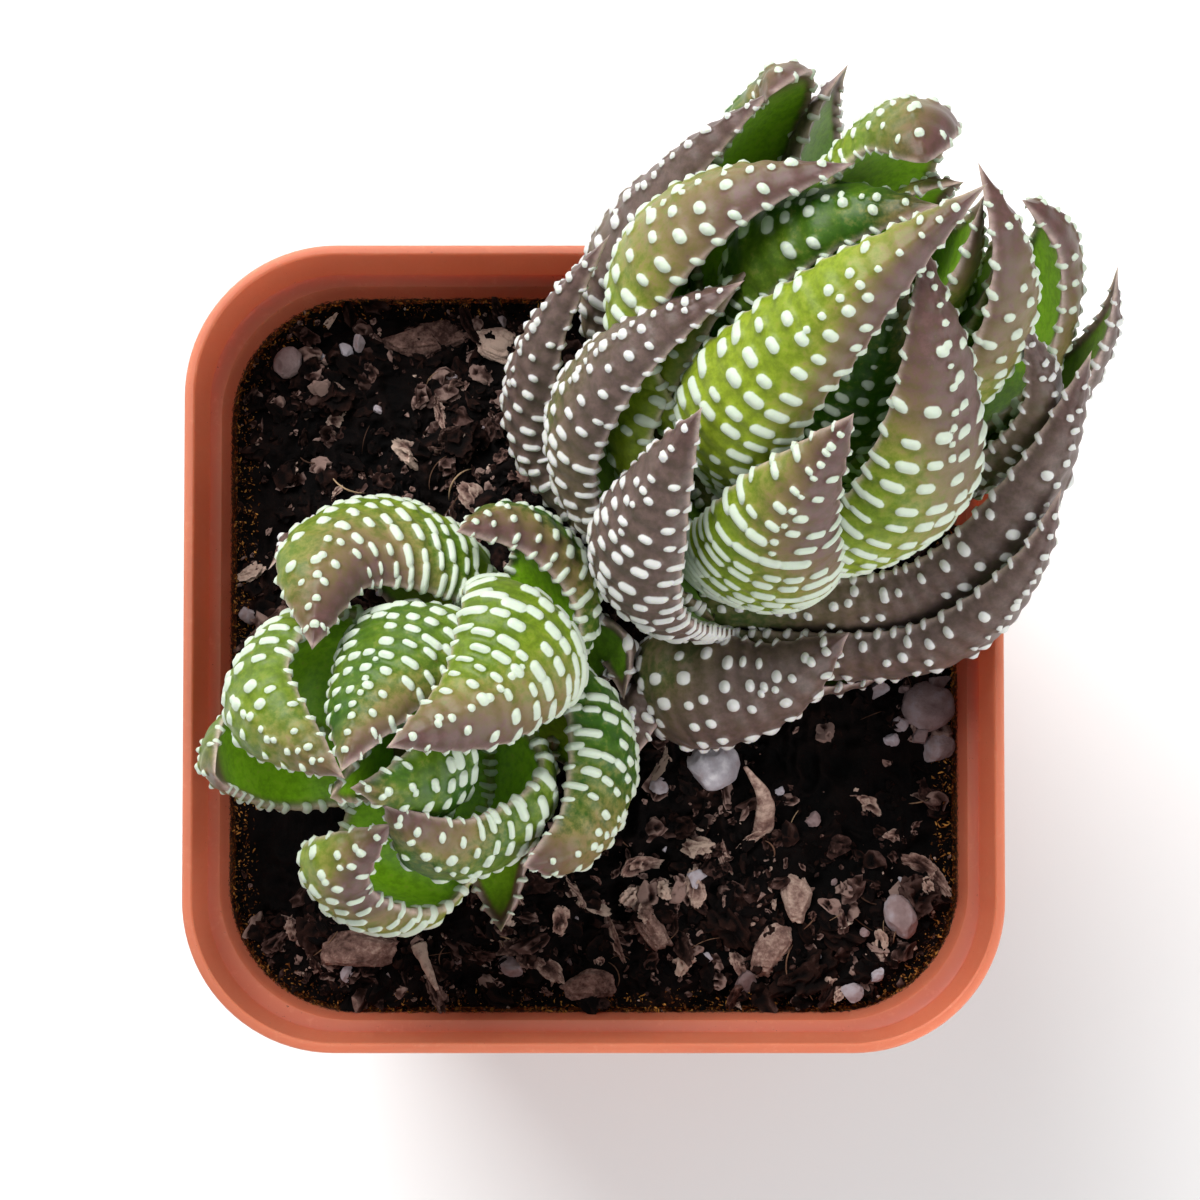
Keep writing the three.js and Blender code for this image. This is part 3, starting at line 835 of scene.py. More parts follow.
def turned(spin: float, lean: float = 0, roll: float = 0) -> np.ndarray:
    """A turn about X, then about Y, then about Z.

    Args:
        spin: Angle about Z, in radians.
        lean: Angle about X.
        roll: Angle about Y.

    Returns:
        The matrix that points are multiplied by, from the right.
    """
    about_x = np.array([[1, 0, 0], [0, math.cos(lean), math.sin(lean)], [0, -math.sin(lean), math.cos(lean)]])
    about_y = np.array([[math.cos(roll), 0, -math.sin(roll)], [0, 1, 0], [math.sin(roll), 0, math.cos(roll)]])
    about_z = np.array([[math.cos(spin), math.sin(spin), 0], [-math.sin(spin), math.cos(spin), 0], [0, 0, 1]])
    return about_x @ about_y @ about_z


def split(shape: np.ndarray, rng: np.random.Generator, cuts: int, levels: Pair) -> np.ndarray:
    """Breaks flat faces off a round body.

    Args:
        shape: Its points, 1 from the middle.
        rng: Source of the faces' directions.
        cuts: How many faces are broken off.
        levels: Least and greatest distance of a face from the middle.

    Returns:
        The moved points.
    """
    for _ in range(cuts):
        normal = unit(rng.normal(size=3))
        over = np.maximum(shape @ normal - rng.uniform(*levels), 0)
        shape = shape - over[:, None] * normal
    return shape


@dataclass(frozen=True)
class Loose:
    """One kind of crumb in the potting mix.

    size is its width, and flat and long are its height and length as shares of that. tone is the
    range of its tones, ragged the unevenness of its shape, contrast how much paler its crests are than
    its creases, partly its own uneven tone and partly painted light and shade, and lift how high it
    lies. tilt is its greatest lean in radians, and steps its fineness. few_large and bias say how much
    rarer the large ones and the pale ones are. Where band is set they lie within that of the wall.
    placed holds picture points and sizes of those that the view shows.
    """

    name: str
    slot: str
    finish: Grainy
    count: int
    size: Pair
    flat: Pair
    long: Pair
    tone: Pair
    seed: int
    lift: float = 0.2
    tilt: float = 0.6
    steps: int = 2
    ragged: float = 0.3
    contrast: float = 0.2
    bias: float = 1.6
    band: float = 0
    placed: tuple[Point, ...] = ()
    crease: float = 28
    few_large: float = 2.2


@dataclass(frozen=True)
class Fibres:
    """Fine root and bark fibres, each a thin bent tube.

    length, radius and arch are the ranges of their sizes, and bend the most that one turns, in
    radians. margin and wall_gap keep their middles and their ends off the wall.
    """

    name: str
    finish: Grainy
    count: int
    seed: int
    bend: float = 1.6
    length: Pair = (1.2, 5)
    radius: Pair = (0.03, 0.08)
    arch: Pair = (0.1, 1.2)
    steps: int = 12
    sides: int = 6
    margin: float = 3
    wall_gap: float = 2.2


@dataclass(frozen=True)
class Soil:
    """Potting mix of peat and bark: a crowned, crumbly top inside the pot.

    edge is its height at the wall and crown how much higher its middle lies. bump is the height of its
    shallow lumps and relief that of its crumbs. clods, crests, grit and drifts are the sizes of its
    patterns, and bare the levels between which crumbs thin out.
    """

    pot: Pot
    finish: Grainy
    edge: float = 49.6
    crown: float = 3.1
    bump: float = 0.55
    gap: float = 0.3
    relief: float = 1.0
    rings: int = 174
    corner_steps: int = 60
    side_steps: int = 80
    shoulder: float = 1.2
    clods: float = 6
    crests: float = 2.4
    grit: float = 0.9
    drifts: float = 9
    bare: Pair = (-0.9, 0.5)

    def smooth_height(self, x: np.ndarray, y: np.ndarray) -> np.ndarray:
        """Height of the top before its crumbs: crowned, with shallow lumps.

        Args:
            x: Places across.
            y: Places towards the back.

        Returns:
            The heights.
        """
        reach = np.maximum(np.abs(x), np.abs(y)) / (self.pot.rim_width / 2)
        lumps = np.sin(x * 0.42 + 1.3) * np.cos(y * 0.37 - 0.6) + 0.6 * np.sin(x * 0.83 - y * 0.71)
        return self.edge + self.crown * (1 - reach**2) + self.bump * lumps * (1 - reach**6)

    def height(self, x: np.ndarray, y: np.ndarray) -> np.ndarray:
        """Height of the crumbly top."""
        return self.smooth_height(x, y) + self.relief * self.crumple(np.stack([x, y, np.zeros_like(x)], -1))

    def crumple(self, flat: np.ndarray) -> np.ndarray:
        """Crinkled relief of clods with sharp crests.

        Args:
            flat: Places on the level, three numbers to a row.

        Returns:
            The relief, about -1 to 1.
        """
        drift = np.stack([rough(flat, 3, 14), rough(flat, 3, 15), np.zeros(flat.shape[:-1])], -1)
        bent = flat + 0.9 * drift
        clods = rough(bent, self.clods, 11, 2)
        crests = 1 - 2.2 * np.abs(rough(bent, self.crests, 12, 2))
        grit = 1 - 2 * np.abs(rough(bent, self.grit, 13, 2))
        return 0.5 * clods + 0.42 * crests + 0.24 * grit - 0.15

    def build(self) -> None:
        """Makes the body of the soil."""
        pot = replace(self.pot, corner_steps=self.corner_steps, side_steps=self.side_steps)
        inset = pot.wall + self.gap
        top = pot.ring(pot.wall_half(self.edge) - inset, pot.corner_at(self.edge) - inset, self.edge)
        low = top.copy()
        shrink = (pot.wall_half(pot.floor) - inset) / np.abs(top[:, 0]).max()
        low[:, :2] *= shrink
        low[:, 2] = pot.floor + self.gap
        rings = [low, top - [0, 0, self.shoulder]]
        for share in np.linspace(1, 0.004, self.rings) ** 0.8:
            ring = top.copy()
            ring[:, :2] *= share
            ring[:, 2] = self.height(ring[:, 0], ring[:, 1])
            rings.append(ring)
        grid = np.stack(rings)
        flat = grid * [1, 1, 0]
        patch = smooth(0.0, 0.9, rough(flat, 5, 22, 2))
        # Painted shade and light: the tone follows the crumpled relief, dark in its hollows and pale on its
        # crests; the patches and the fine noise are the mix's own uneven tone.
        tone = 0.12 + (0.22 + 0.4 * patch) * self.crumple(flat) + 0.12 * rough(flat, 0.8, 21, 2)
        soil = closed_tube("potting_mix", grid, {"tone": tone})
        dress(soil, self.finish.make(), "potting_soil", "soil")
        LOG.info("soil: %d points", len(soil.data.vertices))

    def spots(self, count: int, margin: float, rng: np.random.Generator, band: float = 0) -> np.ndarray:
        """Random places inside the wall, in drifts.

        Args:
            count: How many.
            margin: Least distance from the wall.
            rng: Source of the places.
            band: How far from the wall they reach, without drifts, or 0 where they lie all over.

        Returns:
            The places on the level.
        """
        half = self.pot.wall_half(self.edge) - self.pot.wall - margin
        corner = self.pot.corner_at(self.edge) - self.pot.wall - margin
        found: list[np.ndarray] = []
        while len(found) < count:
            place = rng.uniform(-half, half, 2)
            over = np.hypot(*np.maximum(np.abs(place) - (half - corner), 0))
            far = max(over, np.abs(place).max() - (half - corner))
            if over >= corner or band and corner - far > band * rng.random():
                continue
            if band or float(rough(np.array([*place, 0.0]), self.drifts, 31, 2)) > rng.uniform(*self.bare):
                found.append(place)
        return np.array(found)

    def scatter(self, kind: Loose) -> None:
        """Strews one kind of crumb over the soil as one piece.

        Args:
            kind: The crumb's sizes, tones and number.
        """
        rng = np.random.default_rng(kind.seed)
        shape, faces = ball(kind.steps)
        points, corners, tones = [], [], []
        places = [(*place, None) for place in self.spots(kind.count, kind.size[1] * 0.6, rng, kind.band)]
        places += [(*VIEW.seen((u, v, self.edge + 1))[:2], size) for u, v, size in kind.placed]
        for number, (x, y, known) in enumerate(places):
            size = known or kind.size[0] + (kind.size[1] - kind.size[0]) * rng.random() ** kind.few_large
            stretch = np.array([rng.uniform(*kind.long), 1, rng.uniform(*kind.flat)]) * size / 2
            crests = 1 - 2 * np.abs(rough(shape * 1.6 + number * 7, 1, kind.seed, 3))
            body = split(shape, rng, 6, (0.4, 0.85)) * (1 + kind.ragged * crests)[:, None] * stretch
            body[:, 2] += rng.uniform(-0.3, 0.3) * body[:, 0] ** 2 / size
            spin, lean, roll = rng.uniform([0, -kind.tilt, -kind.tilt], [2 * math.pi, kind.tilt, kind.tilt])
            body = body @ turned(spin, lean, roll)
            z = float(self.height(np.array(x), np.array(y)))
            body += [x, y, z + kind.lift * stretch[2]]
            corners.append(faces + len(points) * len(shape))
            points.append(body)
            base = kind.tone[0] + (kind.tone[1] - kind.tone[0]) * rng.random() ** kind.bias
            # Painted light and shade in part: the tone rises on the crests of the crumb's relief and falls in
            # its creases.
            tones.append(base + kind.contrast * crests)
        piece = new_piece(kind.name, np.concatenate(points), [np.concatenate(corners)],
                          {"tone": np.concatenate(tones)})
        piece.data.set_sharp_from_angle(angle=math.radians(kind.crease))
        dress(piece, kind.finish.make(), kind.slot)
        LOG.info("%s: %d", kind.name, kind.count)

    def strew(self, kind: Fibres) -> None:
        """Strews fibres over the soil as one piece.

        Args:
            kind: The fibres' sizes and number.
        """
        rng = np.random.default_rng(kind.seed)
        limit = self.pot.wall_half(self.edge) - kind.wall_gap
        points, quads, fans, tones = [], [], [], []
        for place in self.spots(kind.count, kind.margin, rng):
            ranges = ((0, 2 * math.pi), (-kind.bend, kind.bend), kind.length, kind.radius)
            heading, bend, length, radius = (rng.uniform(*ends) for ends in ranges)
            angles = heading + bend * np.linspace(-0.5, 0.5, kind.steps)
            moves = np.stack([np.cos(angles), np.sin(angles)], -1) * length / kind.steps
            flat = place + np.cumsum(moves, axis=0) - moves.sum(axis=0) / 2
            flat = np.clip(flat, -limit, limit)
            arch = np.sin(np.linspace(0, math.pi, kind.steps)) * rng.uniform(*kind.arch)
            z = self.height(flat[:, 0], flat[:, 1]).mean() + arch + 0.15
            line = np.column_stack([flat, z])
            way = unit(np.gradient(line, axis=0))
            side = unit(np.cross(way, [0, 0, 1.0]))
            up = np.cross(side, way)
            thin = radius * (1 - 0.6 * np.abs(np.linspace(-1, 1, kind.steps)) ** 3)
            rings = line[:, None] + sweep(line, side, -up, kind.sides)[0] * thin[:, None, None]
            four, three = tube_faces(kind.steps, kind.sides, sum(map(len, points)))
            quads.append(four)
            fans.append(three)
            points.append(np.concatenate([rings.reshape(-1, 3), line[:1], line[-1:]]))
            tones.append(np.full(len(points[-1]), rng.uniform(0.1, 1)))
        piece = new_piece(kind.name, np.concatenate(points), [np.concatenate(quads), np.concatenate(fans)],
                          {"tone": np.concatenate(tones)})
        dress(piece, kind.finish.make(), "bark")
        LOG.info("%s: %d", kind.name, kind.count)


class Kind(Enum):
    """What a stone on the soil is."""

    PERLITE = "perlite"
    BARK = "bark"


@dataclass(frozen=True)
class Stone:
    """A larger grain or chip that lies on the soil, where the view shows it."""

    name: str
    at: Pair
    size: Point
    turn: float
    kind: Kind
    tone: float
    steps: int = 5
    seat: float = 0.22

    def build(self, soil: Soil, finish: Grainy) -> None:
        """Shapes the stone, sets it on the soil and dresses it.

        Args:
            soil: The soil that it lies on.
            finish: Its finish.
        """
        shape, faces = ball(self.steps)
        seed = sum(map(ord, self.name))
        rng = np.random.default_rng(seed)
        if self.kind is Kind.BARK:
            body = np.sign(shape) * np.abs(shape) ** np.array([0.7, 0.85, 0.6])
            layers = rough(shape * [1.2, 2.4, 10], 1.3, seed, 3)
            body = split(body, rng, 12, (0.62, 1.0)) * (1 + 0.16 * layers)[:, None]
        else:
            pores = np.abs(rough(shape * 9, 2, seed + 3, 2))
            lumps = 1.03 + 0.07 * rough(shape * 3, 2, seed, 2) - 0.03 * pores
            body = split(shape, rng, 7, (0.78, 0.97)) * lumps[:, None]
        body = body * np.array(self.size) / 2 @ turned(math.radians(self.turn))
        x, y, _ = VIEW.seen((*self.at, soil.edge + 1))
        rest = soil.smooth_height(np.array(x), np.array(y)) + self.size[2] * self.seat
        tone = self.tone + 0.18 * rough(body, 1.1, seed + 9, 3)
        piece = new_piece(self.name + "_grain", body + [x, y, float(rest)], [faces], {"tone": tone})
        dress(piece, finish.make(), self.kind.value, self.name)


@dataclass(frozen=True)
class Sliver:
    """A dry sliver of bark, leaf or twig that stands up from the soil. claw bends it to one side."""

    name: str
    foot: Point
    tip: Point
    radius: float
    tone: float
    flat: float = 0.45
    tip_radius: float = 0.15
    claw: float = 0
    arch: float = 0.35

    def build(self, finish: Grainy) -> None:
        """Makes the sliver as a tapering, slightly bent and ribbed body, and dresses it.

        Args:
            finish: Its finish.
        """
        start, end = VIEW.seen(self.foot), VIEW.seen(self.tip)
        steps, sides = 40, 20
        share = np.linspace(0, 1, steps)
        way = unit(end - start)
        side = unit(np.cross([0, 0, 1.0], way))
        up = np.cross(way, side)
        bend = (up * self.radius * self.arch + side * self.claw) * np.sin(share * math.pi)[:, None]
        line = start + (end - start) * share[:, None] + bend
        ring, turn = sweep(line, side * 1.15, up * self.flat * 1.6, sides)
        wide = self.radius + (self.tip_radius - self.radius) * share ** (0.8 - self.claw)
        places = np.stack(np.broadcast_arrays(share[:, None] * 6, np.cos(turn), np.sin(turn)), -1)
        wave = 1 + 0.16 * rough(places, 1, len(self.name), 2)
        rings = line[:, None] + ring * (wide[:, None] * wave)[..., None]
        tone = self.tone + 0.25 * rough(rings, 0.8, 77, 2)
        piece = closed_tube(self.name + "_piece", rings, {"tone": tone})
        dress(piece, finish.make(), "bark", self.name)


# ---------------------------------------------------------------- plant


class Tone(Enum):
    """How much sun a leaf has had."""

    GREEN = "leaf_green"
    BROWN = "leaf_brown"


@dataclass(frozen=True)
class Stem:
    """A leaning stem. Its axis runs straight from where it leaves the soil to its growing point."""

    node: str
    foot: Point
    top: Point
    radius: float
    buried: float
    thinning: float = 0.45
    root_slant: float = 0.4

    @property
    def start(self) -> np.ndarray:
        """Where the axis leaves the soil."""
        return VIEW.seen(self.foot)

    @property
    def end(self) -> np.ndarray:
        """The growing point."""
        return VIEW.seen(self.top)

    @property
    def along(self) -> np.ndarray:
        """Direction of the axis."""
        return unit(self.end - self.start)

    def build(self, finish: Grainy) -> None:
        """Makes the stem with the rough scars of old leaves, and dresses it.

        Args:
            finish: Its finish.
        """
        start, end = self.start, self.end
        root = start - self.along * self.buried * self.root_slant
        root[2] = start[2] - self.buried
        line = Line(np.array([root, start, (start + end) / 2, end]))
        share = np.linspace(0, 1, 90)
        way, at = line.way(share), line.at(share)
        side = unit(np.array([1.0, 0, 0]) - way * way[:, :1])
        up = np.cross(way, side)
        thick = self.radius * (1 - self.thinning * line.part(share))
        ring, turn = sweep(at, side, up, 40)
        scars = 0.12 * np.sin(share * line.length * 2.4)[:, None] * (1 + 0.5 * np.sin(turn * 3))
        rings = at[:, None] + ring * (thick[:, None] * 0.96 + scars)[..., None]
        tone = 0.45 + 0.3 * rough(rings, 1.6, 41, 2)
        piece = closed_tube(self.node + "_body", rings, {"tone": tone})
        dress(piece, finish.make(), "stem", self.node)


@dataclass(frozen=True)
class Leaf:
    """A keeled leaf.

    springs is where on the stem's axis it starts, 0 at the foot. low, high and tip are points on its
    middle line, each a picture point and a height. wide is its full width and roll its turn about
    that line in degrees. blunt is 0 where it tapers to a point and 1 where it is rounded. lime and
    blush say how yellow its green is and how much of it is brown, counted from the tip. spots is the
    size and spacing of its tubercles, and bars how far they are drawn out, against the usual ones.
    """

    springs: float
    low: Point
    high: Point
    tip: Point
    wide: float
    tone: Tone = Tone.GREEN
    roll: float = 0
    blunt: float = 0
    lime: float = 0.5
    blush: float = 0.35
    spots: float = 1
    bars: float = 1


@dataclass(frozen=True)
class LeafShape:
    """What all the leaves share: their section, their swell and taper, and their rows of tubercles.

    rings, outer and inner are the fineness of a leaf, over its outer and its hollow face. level_ring
    is the ring whose hollow face looks at the stem. Widths and keels are shares of the half-width,
    and places along the leaf are shares of its length, but for first_row, which is in millimetres.
    grown_to is how large the tubercles are at each of the places grown_at. bell is how far a
    tubercle's flank reaches, and sun the direction that tans a leaf most.
    """

    rings: int = 176
    outer: int = 88
    inner: int = 30
    widest_at: float = 0.34
    foot_width: float = 0.72
    keel_foot: float = 0.62
    keel_tip: float = 0.87
    hollow: float = 0.14
    last_ring: float = 0.985
    level_ring: float = 0.586
    row_gap: Pair = (1.2, 2.0)
    first_row: float = 0.8
    last_row: float = 0.955
    row_bow: float = 0.5
    row_reach: float = 2.4
    spot_gap: float = 2.2
    spot_half: float = 0.5
    grown_at: tuple[float, ...] = (0, 0.25, 0.55, 0.8, 1)
    grown_to: tuple[float, ...] = (0.68, 0.74, 1, 0.8, 0.5)
    bars: float = 2.3
    spot_spread: Pair = (0.78, 1.15)
    edge_spread: Pair = (0.7, 1.0)
    row_spread: Pair = (0.86, 1.12)
    keel_dot: float = 0.3
    keel_start: Pair = (0.58, 0.66)
    keel_end: float = 0.95
    keel_gap: Pair = (1.1, 2.2)
    keel_spread: Pair = (0.75, 1.2)
    spot_height: float = 0.4
    row_ridge: float = 0.17
    ridge_half: float = 0.7
    bell: float = 1.4
    sun: Point = (1, -0.6, 0.2)
    sun_reach: float = 0.26

    def width(self, t: np.ndarray, blunt: float) -> np.ndarray:
        """Width along the middle line.

        Args:
            t: Shares of the line's length.
            blunt: 0 for a pointed leaf and 1 for a rounded one.

        Returns:
            Shares of the greatest width.
        """
        rise = np.sin(np.minimum(t / self.widest_at, 1) * math.pi / 2)
        swell = self.foot_width + (1 - self.foot_width) * rise
        beyond = np.clip((t - self.widest_at) / (1 - self.widest_at), 0, 1)
        taper = (1 - beyond ** (1.55 + 1.45 * blunt)) ** (1.05 - 0.3 * blunt)
        return np.where(t < self.widest_at, swell, taper)

    def faces_in(self, line: Line, stem: Stem, t: np.ndarray, roll: float) -> tuple[np.ndarray, np.ndarray]:
        """Directions across each ring.

        Args:
            line: The leaf's middle line.
            stem: The stem that its hollow face looks at.
            t: Shares of the line's length at the rings.
            roll: Turn about the line, in degrees.

        Returns:
            For each ring, the direction to one margin and the direction in which the hollow face looks.
        """
        way, at = line.way(t), line.at(t)
        level = int(np.argmin(np.abs(t - self.level_ring)))
        height = (at[level] - stem.start) @ stem.along
        face = np.zeros_like(at)
        face[level] = unit(across(stem.start + stem.along * height - at[level], way[level]))
        for ring in range(level + 1, len(t)):
            face[ring] = unit(across(face[ring - 1], way[ring]))
        for ring in range(level - 1, -1, -1):
            face[ring] = unit(across(face[ring + 1], way[ring]))
        angle = math.radians(roll)
        face = face * math.cos(angle) + np.cross(way, face) * math.sin(angle)
        return np.cross(way, face), face

    def section(self, t: np.ndarray, half: np.ndarray) -> tuple[np.ndarray, np.ndarray]:
        """Section of each ring, from one margin over the hollow face and back round the keel.

        Args:
            t: Shares of the line's length at the rings.
            half: Half-width of each ring.

        Returns:
            Distances across and outwards, each an array of ring and column.
        """
        swing = np.linspace(0, math.pi, self.inner + 1)
        inner_x = -np.cos(swing)
        inner_y = 1 - inner_x**2
        swing = np.linspace(0, math.pi, self.outer + 1)[1:-1]
        outer_x, outer_y = np.cos(swing), np.sin(swing)
        keel = half * (self.keel_foot + (self.keel_tip - self.keel_foot) * t)
        ridge = smooth(0.45, 0.9, t)[:, None] * np.exp(-((outer_x / 0.22) ** 2))
        x = half[:, None] * np.concatenate([inner_x, outer_x])
        y_in = half[:, None] * self.hollow * inner_y
        y_out = keel[:, None] * outer_y * (0.97 + 0.1 * ridge)
        return x, np.concatenate([y_in, y_out], axis=1)

    def around(self, x: np.ndarray, y: np.ndarray) -> tuple[np.ndarray, np.ndarray]:
        """Distance of each point from the keel, round the section.

        Args:
            x: Distances across, by ring and column.
            y: Distances outwards, by ring and column.

        Returns:
            The signed distances, and for each ring the distance from the keel to the margin.
        """
        keel = self.inner + self.outer // 2
        order = np.concatenate([np.arange(self.inner, x.shape[1]), [0]])
        steps = np.hypot(np.diff(x[:, order], axis=1), np.diff(y[:, order], axis=1))
        gone = np.concatenate([np.zeros((len(x), 1)), np.cumsum(steps, axis=1)], axis=1)
        middle = gone[:, keel - self.inner][:, None]
        result = np.zeros_like(x)
        result[:, order] = middle - gone
        margin = middle[:, 0]
        inner = x[:, 1 : self.inner]
        half = np.abs(x[:, :1])
        result[:, 1 : self.inner] = np.where(inner >= 0, 1, -1) * (margin[:, None] + half - np.abs(inner))
        return result, margin

    def tubercles(self, leaf: Leaf, length: float, s: np.ndarray, p: np.ndarray, margin: np.ndarray,
                  rng: np.random.Generator) -> tuple[np.ndarray, np.ndarray]:
        """Raised white tubercles in rows across the leaf.

        Near the keel they are round. They grow into bars towards the margins and the foot.

        Args:
            leaf: The leaf's sizes.
            length: Length of the middle line.
            s: Distance of each ring from the foot.
            p: Distance of each point from the keel, by ring and column.
            margin: For each ring, the distance from the keel to the margin.
            rng: Source of the unevenness.

        Returns:
            For each point, how far up a tubercle it is, and how far up the low ridge under its row.
        """
        scale = leaf.spots
        loose = max(0, 1 - leaf.bars)
        bump = np.zeros_like(p)
        ridge = np.zeros_like(p)

        def raise_at(at: float, centre: float, thick: float, run: float, bow: float) -> None:
            """Raises one tubercle.

            Args:
                at: Its place along the leaf.
                centre: Its place across.
                thick: Half its width.
                run: Half its length across.
                bow: How much it bends with its row.
            """
            near = np.abs(s - at) < self.row_reach
            local = p[near]
            lag = s[near][:, None] - at - bow * (local**2 - centre**2)
            beyond = np.maximum(np.abs(local - centre) - (run - thick), 0)
            far = np.hypot(beyond, lag) / thick
            bump[near] = np.maximum(bump[near], np.clip(1 - (far / self.bell) ** 2, 0, 1) ** 2)

        at = self.first_row + rng.uniform(0, 0.6)
        while at < length * self.last_row:
            t = at / length
            edge = float(np.interp(at, s, margin))
            bow = self.row_bow / max(edge, 1) ** 2
            near = np.abs(s - at) < self.row_reach
            lag = s[near][:, None] - at - bow * p[near] ** 2
            ridge[near] = np.maximum(ridge[near], np.exp(-((lag / self.ridge_half) ** 2)))
            bar = self.bars * leaf.bars * float(smooth(0.3 + 0.45 * leaf.bars, 0.1, np.array(t)))
            sparse = 0.04 + 0.4 * float(smooth(0.55, 0.95, np.array(t))) + 0.25 * loose
            mean = self.spot_half * scale**0.7 * float(np.interp(t, self.grown_at, self.grown_to))
            centre = rng.uniform(-0.5, 0.5) * self.spot_gap * scale
            # From a first tubercle near the keel, the row is filled towards both margins.
            for step in (-1, 1):
                place = centre if step > 0 else centre - self.spot_gap * scale * rng.uniform(0.8, 1.2)
                while abs(place) < edge - 0.75 * scale:
                    out = abs(place) / max(edge, 0.5)
                    thick = mean * rng.uniform(*self.spot_spread)
                    run = thick * (1.15 + bar * (0.45 + 0.65 * out) * rng.uniform(0.5, 1.3))
                    if rng.random() > sparse:
                        raise_at(at + rng.normal(0, 0.13 + 0.45 * loose), place, thick, run, bow)
                    place += step * (self.spot_gap * scale * rng.uniform(0.7, 1.1) + 0.6 * (run - thick))
            # Each row ends in a tooth on both margins.
            for place in (-edge, edge):
                thick = mean * rng.uniform(*self.edge_spread)
                run = thick * (1.25 + bar * rng.uniform(0.4, 1.2))
                raise_at(at + rng.normal(0, 0.12), place * (1 - 0.3 * thick / max(edge, 1)), thick, run, bow)
            pitch = self.row_gap[0] + (self.row_gap[1] - self.row_gap[0]) * float(smooth(0, 0.7, np.array(t)))
            at += pitch * scale**0.8 * rng.uniform(*self.row_spread)
        # Small dots run up the keel.
        at = length * rng.uniform(*self.keel_start)
        while at < length * self.keel_end:
            thick = self.keel_dot * rng.uniform(*self.keel_spread)
            raise_at(at, rng.normal(0, 0.08), thick, thick * 1.1, 0)
            at += rng.uniform(*self.keel_gap)
        return bump, ridge

    def build(self, node: str, leaf: Leaf, stem: Stem, skin: bpy.types.Material) -> None:
        """Makes a leaf with its tubercles, and dresses it.

        Args:
            node: The CAD node that it stands for.
            leaf: Its sizes.
            stem: The stem that it grows on.
            skin: Its material.
        """
        seed = sum(ord(letter) * (place + 3) for place, letter in enumerate(node))
        rng = np.random.default_rng(seed)
        springs = stem.start + (stem.end - stem.start) * leaf.springs
        line = Line(np.array([springs, VIEW.seen(leaf.low), VIEW.seen(leaf.high), VIEW.seen(leaf.tip)]))
        t = self.last_ring * np.linspace(0, 1, self.rings) ** 0.94
        way, at = line.way(t), line.at(t)
        side, face = self.faces_in(line, stem, t, leaf.roll)
        wobble = rough(np.column_stack([t * 6, t * 0, t * 0]), 1, seed, 2)
        half = leaf.wide / 2 * self.width(t, leaf.blunt) * (1 + 0.025 * wobble)
        x, y = self.section(t, half)
        p, margin = self.around(x, y)
        points = at[:, None] + side[:, None] * x[..., None] - face[:, None] * y[..., None]
        out = unit(np.cross(np.gradient(points, axis=1), np.gradient(points, axis=0)))
        out *= np.sign(np.sum(out * -face[:, None], axis=-1)[:, self.inner + self.outer // 2])[:, None, None]
        bump, ridge = self.tubercles(leaf, line.length, t * line.length, p, margin, rng)
        outside = smooth(0.9, -0.3, np.abs(p) - margin[:, None])
        lift = self.spot_height * bump + self.row_ridge * ridge * outside
        lift += 0.07 * rough(points, 3.2, seed, 2)
        lift *= np.minimum(half / 1.2, 1)[:, None]
        points = points + out * lift[..., None]
        points = np.concatenate([points.reshape(-1, 3), springs[None], VIEW.seen(leaf.tip)[None]])
        values = self.colours(leaf, t, x / np.maximum(half, 0.1)[:, None], p, margin, bump, seed, side)
        faces = tube_faces(self.rings, self.inner + self.outer)
        dress(new_piece(node + "_skin", points, faces, with_ends(values)), skin, leaf.tone.value, node)

    def colours(self, leaf: Leaf, t: np.ndarray, x: np.ndarray, p: np.ndarray, margin: np.ndarray,
                bump: np.ndarray, seed: int, side: np.ndarray) -> Values:
        """Numbers that the leaf's skin reads.

        Args:
            leaf: The leaf's sizes and colours.
            t: Shares of the middle line's length at the rings.
            x: Distance across of each point, as a share of its ring's half-width.
            p: Distance of each point from the keel, by ring and column.
            margin: For each ring, the distance from the keel to the margin.
            bump: For each point, how far up a tubercle it is.
            seed: Chooses the pattern of the clouds.
            side: For each ring, the direction to one margin.

        Returns:
            The numbers by ring and column, by name.
        """
        along = np.repeat(t[:, None], x.shape[1], axis=1)
        inner = smooth(0.15, 1.0, np.abs(p) - margin[:, None])
        clouds = rough(np.stack([along * 5, x * 1.2, x * 0], -1), 1, seed + 2, 2)
        reach = along + self.sun_reach * (side @ unit(np.array(self.sun)))[:, None] * x + 0.07 * clouds
        start = 1 - leaf.blush
        brown = smooth(start - 0.14, start + 0.42, reach)
        if leaf.tone is Tone.BROWN:
            brown = np.maximum(brown, 0.35 + 0.4 * along + 0.25 * clouds)
        brown = brown * (1 - inner) + inner * smooth(0.84, 0.98, along)
        lime = leaf.lime + 0.15 * clouds + 0.1 * (0.5 - along)
        # A pale band along every margin, partly the margin's own colour and partly painted rim light.
        rim = np.exp(-(((np.abs(p) - margin[:, None]) / 0.34) ** 2)) * smooth(0.0, 0.5, along)
        return {"along": along, "inner": inner * (1 - smooth(0.9, 1.0, along)), "brown": brown,
                "lime": np.clip(lime, 0, 1), "spot": bump, "rim": rim}


def across(vector: np.ndarray, way: np.ndarray) -> np.ndarray:
    """The part of a vector that is square to a direction."""
    return vector - way * (vector @ way)


# ---------------------------------------------------------------- what the view shows


GREEN, BROWN = Tone.GREEN, Tone.BROWN

MAIN = Stem("main_stem", (670, 675, 53), (875, 290, 82), 3.4, 13)
OFFSET = Stem("offset_stem", (520, 660, 52.5), (400, 755, 72), 3, 12)

